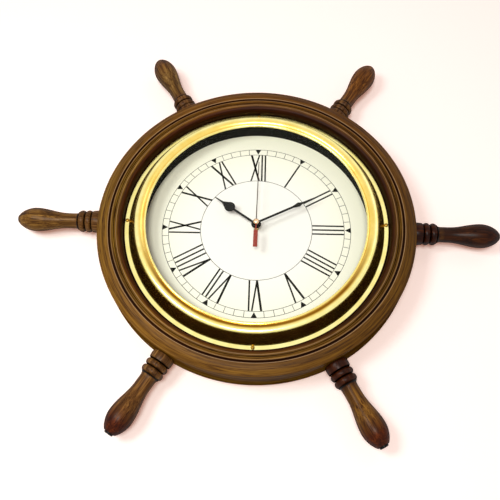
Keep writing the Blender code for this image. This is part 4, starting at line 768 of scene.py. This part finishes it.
def bezel_path():
    """Outer skin of the spun bezel, from the lip over the bead and down the cone to the flange."""
    base = BEAD_TOP - BEAD_RISE
    points = [(LIP_RADIUS, LIP_BOTTOM)]
    points += arc((ROLL_MIDDLE, base + ROLL_LIFT), (ROLL_HALF, ROLL_RISE), 180, 40, steps=12)
    points += arc((BEAD_MIDDLE, base), (BEAD_INNER_HALF, BEAD_RISE), 165, 90, steps=12)
    points += arc((BEAD_MIDDLE, base), (BEAD_OUTER_HALF, BEAD_RISE), 82, 0, steps=12)
    start = BEAD_MIDDLE + BEAD_OUTER_HALF
    foot = FLANGE_TOP + SHEET
    for share in shares(12, first=1):
        points.append((start + (CONE_BASE_RADIUS - start) * share,
                       base - (base - foot) * share * (1 + CONE_HOLLOW * (1 - share))))
    points += [(CONE_BASE_RADIUS + out, FLANGE_TOP + up) for out, up in FLANGE_BEND]
    points.append((FLANGE_RADIUS, FLANGE_TOP))
    return points


def thickened(path, thickness):
    """Closed section of a sheet: its outer path and the same path set back by its thickness."""
    inner = []
    for i, point in enumerate(path):
        before, after = Vector(path[max(i - 1, 0)]), Vector(path[min(i + 1, len(path) - 1)])
        along = (after - before).normalized()
        inner.append((point[0] + along.y * thickness, point[1] - along.x * thickness))
    return path + inner[::-1]


def make_face(brass):
    """Spun bezel, glass pane, spacer ring and dial."""
    piece("bezel_spun", turned(thickened(bezel_path(), SHEET), WIDE_STEPS, closed=True), brass, "brass_bezel",
          sharp=40)
    glass = [(0.0, GLASS_BACK), (GLASS_RADIUS - GLASS_ARRIS, GLASS_BACK),
             (GLASS_RADIUS, GLASS_BACK + GLASS_ARRIS), (GLASS_RADIUS, GLASS_FRONT - GLASS_ARRIS),
             (GLASS_RADIUS - GLASS_ARRIS, GLASS_FRONT), (0.0, GLASS_FRONT)]
    piece("glass_pane", turned(glass, DISC_STEPS), clear_glass(), "glass")
    wall = [(DIAL_OPENING, SPACER_BACK), (SPACER_RADIUS, SPACER_BACK), (SPACER_RADIUS, SPACER_FRONT),
            (DIAL_OPENING, SPACER_FRONT)]
    # Black card, calendered: a dull dark wall round the dial
    card = speckled("black_calendered_card", ("#090A05", "#0E0F09"), roughness=0.62, size=0.6, bump=0.15,
                    specular=0.05)
    piece("spacer_ring", turned(wall, DISC_STEPS, closed=True), card, "dial_spacer")
    disc = [(DIAL_BORE, DIAL_BACK), (DIAL_RADIUS, DIAL_BACK), (DIAL_RADIUS, DIAL_FACE),
            (DIAL_BORE, DIAL_FACE)]
    piece("dial_disc", turned(disc, DISC_STEPS, closed=True), ivory_dial(), "dial")


# Dial print

def on_dial(radius, degrees, aside=0.0):
    """A point on the dial by its radius and its clock angle, set aside clockwise by some mm."""
    angle = math.radians(90 - degrees)
    right, up = math.cos(angle), math.sin(angle)
    return radius * right + aside * up, radius * up - aside * right


def patch(bm, corners):
    """One printed face of the dial."""
    bm.faces.new([bm.verts.new((*corner, DIAL_FACE + PRINT_HEIGHT)) for corner in corners])


def ring_face(bm, inner, outer):
    """A flat printed circle."""
    loops = [[bm.verts.new((*on_dial(radius, 360 * i / WIDE_STEPS), DIAL_FACE + PRINT_HEIGHT))
              for i in range(WIDE_STEPS)] for radius in (inner, outer)]
    for i in range(WIDE_STEPS):
        bm.faces.new((loops[0][i - 1], loops[0][i], loops[1][i], loops[1][i - 1]))


def reached(radius, aside):
    """How far out along the numeral's own line the circle of that radius lies, at this distance aside."""
    return math.sqrt(radius ** 2 - aside ** 2)


def stroke(bm, degrees, foot, head, width):
    """One stroke of a numeral, from the inner circle to the outer one, its ends cut along the circles."""
    corners = []
    for aside, radius in ((foot - width / 2, NUMERAL_INNER), (foot + width / 2, NUMERAL_INNER),
                          (head + width / 2, NUMERAL_OUTER), (head - width / 2, NUMERAL_OUTER)):
        corners.append(on_dial(reached(radius, aside), degrees, aside))
    patch(bm, corners)


# Strokes of each numeral as (foot, head, heavy): distances aside from the hour's own line, in mm
NUMERALS = {
    1: [(0.0, 0.0, False)],
    2: [(-2.9, -2.9, False), (2.9, 2.9, False)],
    3: [(-5.8, -5.8, False), (0.0, 0.0, False), (5.8, 5.8, False)],
    4: [(-8.4, -8.4, False), (-2.5, -2.5, False), (3.3, 3.3, False), (9.1, 9.1, False)],
    5: [(-1.0, -5.4, True), (-1.0, 6.3, False)],
    6: [(-2.7, -8.7, True), (-2.7, 2.7, False), (6.6, 6.6, False)],
    7: [(-6.6, -12.3, True), (-6.6, -0.1, False), (4.2, 4.2, False), (9.4, 9.4, False)],
    8: [(-9.7, -14.5, True), (-9.7, -5.0, False), (0.5, 0.5, False), (6.8, 6.8, False), (13.2, 13.2, False)],
    9: [(-7.0, -7.0, False), (8.6, -2.4, True), (-2.4, 8.6, False)],
    10: [(5.9, -4.6, True), (-4.6, 5.9, False)],
    11: [(4.5, -7.2, True), (-7.2, 4.5, False), (8.0, 8.0, False)],
    12: [(1.7, -8.6, True), (-8.6, 1.7, False), (5.5, 5.5, False), (9.8, 9.8, False)],
}


def make_print():
    """Numerals, minute track and triangles, screen-printed on the dial."""
    bm = bmesh.new()
    for hour, strokes in NUMERALS.items():
        for foot, head, heavy in strokes:
            stroke(bm, 30 * hour, foot, head, HEAVY_STROKE if heavy else STROKE)
    half = TRACK_LINE / 2
    for radius in (CHAPTER_CIRCLE, TRACK_INNER, TRACK_OUTER):
        ring_face(bm, radius - half, radius + half)
    for minute in range(60):
        degrees = 6 * minute
        if minute % 5:
            patch(bm, [on_dial(TRACK_INNER, degrees, -half), on_dial(TRACK_INNER, degrees, half),
                       on_dial(TRACK_OUTER, degrees, half), on_dial(TRACK_OUTER, degrees, -half)])
        else:
            patch(bm, [on_dial(TRIANGLE_TIP, degrees), on_dial(TRACK_OUTER, degrees, TRIANGLE_HALF),
                       on_dial(TRACK_OUTER, degrees, -TRIANGLE_HALF)])
    # Black ink, screen-printed: nearly matt, slightly uneven
    ink = speckled("screen_printed_ink", ("#0E0E09", "#16160F"), roughness=0.6, size=0.5, bump=0.05,
                   specular=0.1)
    item = piece("dial_print", bm, ink)
    # Flat faces with nothing behind them may come out facing the wall
    if item.data.polygons[0].normal.y > 0:
        item.data.flip_normals()


# Screws

def on_circle(radius, degrees):
    """A point round the dial's centre by its radius and its angle anticlockwise from three o'clock."""
    angle = math.radians(degrees)
    return radius * math.cos(angle), radius * math.sin(angle)


def bar(centre, length, width, turn, low, high):
    """A plain bar across a screw's head, to cut its slot."""
    along = Vector((math.cos(turn), math.sin(turn)))
    aside = Vector((-along.y, along.x))
    corners = [Vector(centre) + along * length * a + aside * width * b
               for a, b in ((-0.5, -0.5), (0.5, -0.5), (0.5, 0.5), (-0.5, 0.5))]
    return plate([tuple(corner) for corner in corners], low, high)


def screw_mesh(centre, seat, sign):
    """Round-headed screw, its head's underside at seat; sign is 1 where the head looks to the front."""
    profile = [(0.0, -SHANK_LENGTH), (SHANK_RADIUS, -SHANK_LENGTH + SHANK_POINT), (SHANK_RADIUS, 0.0),
               (HEAD_RADIUS, 0.0)]
    profile += arc((0.0, HEAD_RIM), (HEAD_RADIUS, HEAD_HEIGHT - HEAD_RIM), 0, 90, steps=6)
    bm = turned(profile, SCREW_STEPS)
    bmesh.ops.transform(bm, matrix=Matrix.Translation((*centre, seat)) @ Matrix.Diagonal((1, 1, sign, 1)),
                        verts=bm.verts)
    return bm


def make_screws(brass, zinc):
    """Slotted screws in the bezel's flange and crossed ones in the backboard."""
    for number in range(1, 5):
        spot = on_circle(SCREW_CIRCLE, 90 * number)
        seat = FLANGE_TOP + SEAT_GAP
        item = piece(f"bezel_screw_{number}_slotted", screw_mesh(spot, seat, 1), brass,
                     f"bezel_screw_{number}")
        top = seat + HEAD_HEIGHT
        turn = FIRST_SLOT_TURN + SLOT_TURN * number
        cut(item, [bar(spot, SLOT_LENGTH, SLOT_WIDTH, turn, top - SLOT_DEPTH, top + CUT_OVERRUN)])
    for number in range(1, 5):
        spot = on_circle(BOARD_SCREW_CIRCLE, 90 * number - 45)
        seat = BOARD_BACK - SEAT_GAP
        item = piece(f"board_screw_{number}_crossed", screw_mesh(spot, seat, -1), zinc,
                     f"board_screw_{number}")
        top = seat - HEAD_HEIGHT
        cut(item, [bar(spot, CROSS_LENGTH, SLOT_WIDTH, CROSS_TURN * number + quarter, top - CUT_OVERRUN,
                       top + CROSS_DEPTH) for quarter in (0, math.pi / 2)])


# Hands

def hand_outline(length, disc_place, disc_radius, stem, boss_radius, flare=0.0):
    """Outline of a hand pointing up: boss, stem, and a disc drawn out into a slender tip.

    Flare is the length over which the stem widens into the disc.
    """
    half = stem / 2
    boss_angle = math.degrees(math.asin(half / boss_radius))
    disc_angle = math.degrees(math.asin(half / disc_radius))
    start, steps = (FLARED_DISC_START, 8) if flare else (-90 + disc_angle, 16)
    right = [(half, disc_place - flare)] if flare else []
    right += arc((0.0, disc_place), (disc_radius, disc_radius), start, DISC_END_ANGLE, steps)
    right += [(half * TIP_FOOT_SHARE, disc_place + disc_radius * TIP_FOOT), (half * TIP_END_SHARE, length)]
    boss = arc((0.0, 0.0), (boss_radius, boss_radius), 90 + boss_angle, 450 - boss_angle, steps=40)
    return boss + mirrored(right)


def turned_to(outline, degrees):
    """Turn an outline clockwise from twelve."""
    angle = -math.radians(degrees)
    return [(x * math.cos(angle) - y * math.sin(angle), x * math.sin(angle) + y * math.cos(angle))
            for x, y in outline]


def make_hand(name, outline, turn, front, finish, node, body):
    """One stamped hand with a fine bevel along its edges."""
    bm = plate(turned_to(outline, turn), front - HAND_THICKNESS, front)
    item = piece(name, bm, finish, node, body)
    edge = item.modifiers.new("stamped_edge", "BEVEL")
    edge.width = HAND_EDGE * MM
    edge.segments = 2
    edge.limit_method = "ANGLE"
    edge.angle_limit = math.radians(HAND_EDGE_ANGLE)
    modified(item)


def make_hands():
    """Hour, minute and second hand, and the cap over their bosses."""
    # Stamped aluminium, black enamel: semi-gloss with a soft edge highlight
    black = speckled("black_enamelled_hand", ("#0F0F0B", "#181812"), roughness=0.4, size=0.5, bump=0.05,
                     specular=0.2)
    for name, sizes, turn, front in (("hour", HOUR_HAND, HOUR_TURN, HOUR_FRONT),
                                     ("minute", MINUTE_HAND, MINUTE_TURN, MINUTE_FRONT)):
        make_hand(f"{name}_hand_stamped", hand_outline(**sizes), turn, front, black, f"{name}_hand",
                  f"{name}s")
    side = [(TAIL_HALF, -TAIL_END), (TAIL_HALF, -TAIL_START), (SECOND_STEM_HALF, -TAIL_START)]
    side += arc((0.0, 0.0), (SECOND_BOSS_RADIUS, SECOND_BOSS_RADIUS), -SECOND_BOSS_ANGLE, SECOND_BOSS_ANGLE,
                steps=16)
    side.append((SECOND_TIP_HALF, SECOND_LENGTH))
    make_hand("second_hand_stamped", mirrored(side), SECOND_TURN, SECOND_FRONT, dipped_enamel(),
              "second_hand", "seconds")
    dome = [(0.0, CAP_BACK), (CAP_RADIUS, CAP_BACK)]
    dome += arc((0.0, CAP_BACK + CAP_RIM), (CAP_RADIUS, CAP_FRONT - CAP_BACK - CAP_RIM), 0, 90, steps=10)
    dome[-1] = (0.0, CAP_FRONT)
    # Rose-gold plate on turned brass, barrel-polished: paler and redder than the bezel
    plated = speckled("rose_gold_plated_cap", ("#E2B488", "#F0CBA4"), roughness=0.24, size=0.3, bump=0.03,
                      metallic=1.0)
    piece("centre_cap_turned", turned(dome, CAP_STEPS), plated, "centre_cap", "seconds")


# Back and movement

def dress(names, finish):
    """Give carried-over CAD nodes their finish."""
    for name in names:
        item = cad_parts[name]
        item.data.materials.clear()
        item.data.materials.append(finish)


def make_back(zinc):
    """Backboard, and the finishes of the hanger's and the movement's CAD nodes."""
    # Medium-density fibreboard, sawn: pressed fibres 0.9 mm long with a fuzzy dull face
    fibre = speckled("sawn_fibreboard", ("#95784E", "#A4875C"), roughness=0.85, size=0.9, bump=0.5)
    sink = BOARD_FRONT - SINK_DEPTH
    board = [(BOARD_BORE, BOARD_BACK), (BOARD_RADIUS, BOARD_BACK), (BOARD_RADIUS, BOARD_FRONT),
             (SINK_RADIUS, BOARD_FRONT), (SINK_RADIUS, sink), (BOARD_BORE, sink)]
    piece("backboard_disc", turned(board, DISC_STEPS, closed=True), fibre, "backboard")
    dress(["hanger_bracket", "hanger_screw_1", "hanger_screw_2", "quartz_crystal"], zinc)
    # ABS, moulded in a spark-eroded tool: fine even grain that dulls the black
    dress(["movement_case", "movement_cover"], speckled(
        "moulded_black_abs", ("#17181A", "#1F2022"), roughness=0.5, size=0.35, bump=0.35))
    # Acetal, moulded: milky and slightly waxy
    dress(["seconds_wheel", "third_wheel", "intermediate_wheel", "reverser_wheel", "setting_knob", "bobbin"],
          speckled("moulded_white_acetal", ("#E2DDCE", "#EAE6DA"), roughness=0.45, size=0.5, bump=0.08))
    # Brass, stamped and turned: satin from the tool marks
    dress(["bush_nut", "bush_washer", "hour_wheel", "cannon_pinion", "centre_wheel"], speckled(
        "stamped_brass", ("#C9A85A", "#D6B66B"), roughness=0.32, size=0.3, bump=0.12, metallic=1.0))
    # Ferrite, pressed and sintered: dark grey with a fine half-matt grain
    dress(["rotor"], speckled("sintered_ferrite", ("#333436", "#404144"), roughness=0.55, size=0.2, bump=0.3))
    # Soft iron, stamped: plain grey with a low shine
    dress(["stator", "coil_core"], speckled(
        "stamped_soft_iron", ("#85888D", "#979A9F"), roughness=0.4, size=0.3, bump=0.1, metallic=1.0))
    # Enamelled copper wire, wound: a brown-red shimmer over turns 0.1 mm apart
    dress(["coil_winding"], speckled(
        "enamelled_copper_wire", ("#A85A30", "#C07043"), roughness=0.3, size=0.1, bump=0.4, metallic=1.0))
    # Glass-fibre laminate, solder-masked: even green with a soft gloss
    dress(["circuit_board"], speckled(
        "solder_masked_laminate", ("#24582F", "#2F6B3A"), roughness=0.4, size=0.4, bump=0.1))
    # Spring strip, nickel-plated: pale and bright
    dress(["battery_contact_positive", "battery_contact_negative"], speckled(
        "nickel_plated_spring_strip", ("#C0C1BE", "#D0D1CE"), roughness=0.25, size=0.3, bump=0.05,
        metallic=1.0))
    # Polyvinyl sleeve shrunk on the cell: smooth semi-gloss
    dress(["battery"], speckled(
        "shrunk_cell_sleeve", ("#26282C", "#2E3035"), roughness=0.3, size=0.8, bump=0.05, coat=(0.3, 0.1)))


# Stage, lights and camera

def backdrop(name, corners, shade, strength):
    """A paper sheet that glows up to white: the camera sees its front, and every other ray passes."""
    mesh = bpy.data.meshes.new(name)
    mesh.from_pydata(corners, [], [(0, 1, 2, 3)])
    made = bpy.data.materials.new(f"{name}_paper")
    tree = emptied(made)
    ray = add(tree, "ShaderNodeLightPath")
    side = add(tree, "ShaderNodeNewGeometry")
    paper = add(tree, "ShaderNodeBsdfDiffuse", {"Color": linear("#FFFFFF")})
    glow = add(tree, "ShaderNodeEmission", {"Color": linear(shade), "Strength": strength})
    lit = add(tree, "ShaderNodeAddShader", {0: paper.outputs[0], 1: glow.outputs[0]})
    clear = add(tree, "ShaderNodeBsdfTransparent")
    seen = add(tree, "ShaderNodeMath", {0: ray.outputs["Is Camera Ray"], 1: side.outputs["Backfacing"]},
               operation="SUBTRACT", use_clamp=True)
    both = add(tree, "ShaderNodeMixShader", {0: seen.outputs[0], 1: clear.outputs[0], 2: lit.outputs[0]})
    add(tree, "ShaderNodeOutputMaterial", {"Surface": both.outputs[0]})
    mesh.materials.append(made)
    placed(name, mesh)


def make_stage():
    """Wall, floor, and a world that is white to look at and softer as a light."""
    left, right, near, top = -SHEET_REACH, SHEET_REACH, -SHEET_REACH, SHEET_REACH
    foot = [(left, WALL_GAP, FLOOR_HEIGHT), (right, WALL_GAP, FLOOR_HEIGHT)]
    wall = [*foot, (right, WALL_GAP, top), (left, WALL_GAP, top)]
    floor = [(left, near, FLOOR_HEIGHT), (right, near, FLOOR_HEIGHT), *foot[::-1]]
    backdrop("wall", wall, shade="#FF9F70", strength=0.26)
    backdrop("floor", floor, shade="#FFF6F0", strength=0.5)
    world = bpy.data.worlds.new("studio")
    bpy.context.scene.world = world
    tree = emptied(world)
    ray = add(tree, "ShaderNodeLightPath")
    first = add(tree, "ShaderNodeMath", {0: ray.outputs["Is Camera Ray"], 1: ray.outputs["Is Glossy Ray"]},
                operation="MAXIMUM")
    seen = add(tree, "ShaderNodeMath", {0: first.outputs[0], 1: ray.outputs["Is Transmission Ray"]},
               operation="MAXIMUM")
    soft = add(tree, "ShaderNodeBackground", {"Color": linear("#FFF2F0"), "Strength": 0.3})
    white = add(tree, "ShaderNodeBackground", {"Color": linear("#FFFFFF"), "Strength": 1.0})
    both = add(tree, "ShaderNodeMixShader", {0: seen.outputs[0], 1: soft.outputs[0], 2: white.outputs[0]})
    add(tree, "ShaderNodeOutputWorld", {"Surface": both.outputs[0]})


def soft_lamp(name, direction, size, energy, colour, distance):
    """Area lamp looking at the dial's centre; direction is in the clock's frame, size and distance in m."""
    lamp = bpy.data.lights.new(name, "AREA")
    lamp.size = size
    lamp.energy = energy
    lamp.color = linear(colour)[:3]
    item = placed(name, lamp)
    towards = Vector((direction[0], -direction[2], direction[1])).normalized()
    item.location = DIAL_CENTRE + towards * distance
    item.rotation_euler = towards.to_track_quat("Z", "Y").to_euler()


def make_camera():
    """The photograph's viewpoint, fitted to the rim, the bezel and the handles' tips."""
    # Place in mm and the camera's own axes, all in the clock's frame
    place = (13.38, -385.94, 769.15)
    right = (0.99949, 0.02874, -0.01372)
    up = (-0.02005, 0.90256, 0.43010)
    back = (0.02474, -0.42961, 0.90268)
    camera = bpy.data.cameras.new("photograph")
    camera.sensor_width = 36.0
    camera.lens = 47.43
    item = placed("photograph", camera)
    columns = [Vector((v[0], -v[2], v[1])).normalized() for v in (right, up, back)]
    turn = Matrix(columns).transposed().to_4x4()
    item.matrix_world = Matrix.Translation(STAND @ Vector(place)) @ turn
    bpy.context.scene.camera = item


bpy.context.scene.view_settings.view_transform = "Standard"
make_camera()
make_stage()
soft_lamp("key", direction=(-0.5, -0.1, 0.95), size=0.45, energy=8.4, colour="#FCFFFC", distance=1.5)
soft_lamp("front", direction=(-0.05, -0.3, 0.95), size=0.6, energy=31.0, colour="#FFFFFA", distance=2.6)
soft_lamp("rear_right", direction=(0.45, 0.45, 0.77), size=0.8, energy=2.5, colour="#FFE8E4", distance=2.6)
BRASS = polished_brass()
# Mild steel, zinc-plated and passivated: bright grey with a faint cloudy bloom
ZINC = speckled("zinc_plated_steel", ("#A9ACB2", "#C2C4C6"), roughness=0.34, size=0.4, bump=0.08,
                metallic=1.0)
# Brass wood screws, turned, never polished: dull golden brown
DULL_BRASS = speckled("dull_brass_screw", ("#8E6C26", "#A98436"), roughness=0.34, size=0.3, bump=0.1,
                      metallic=1.0)
make_rim()
make_handles()
make_face(BRASS)
make_print()
make_screws(DULL_BRASS, ZINC)
make_hands()
make_back(ZINC)
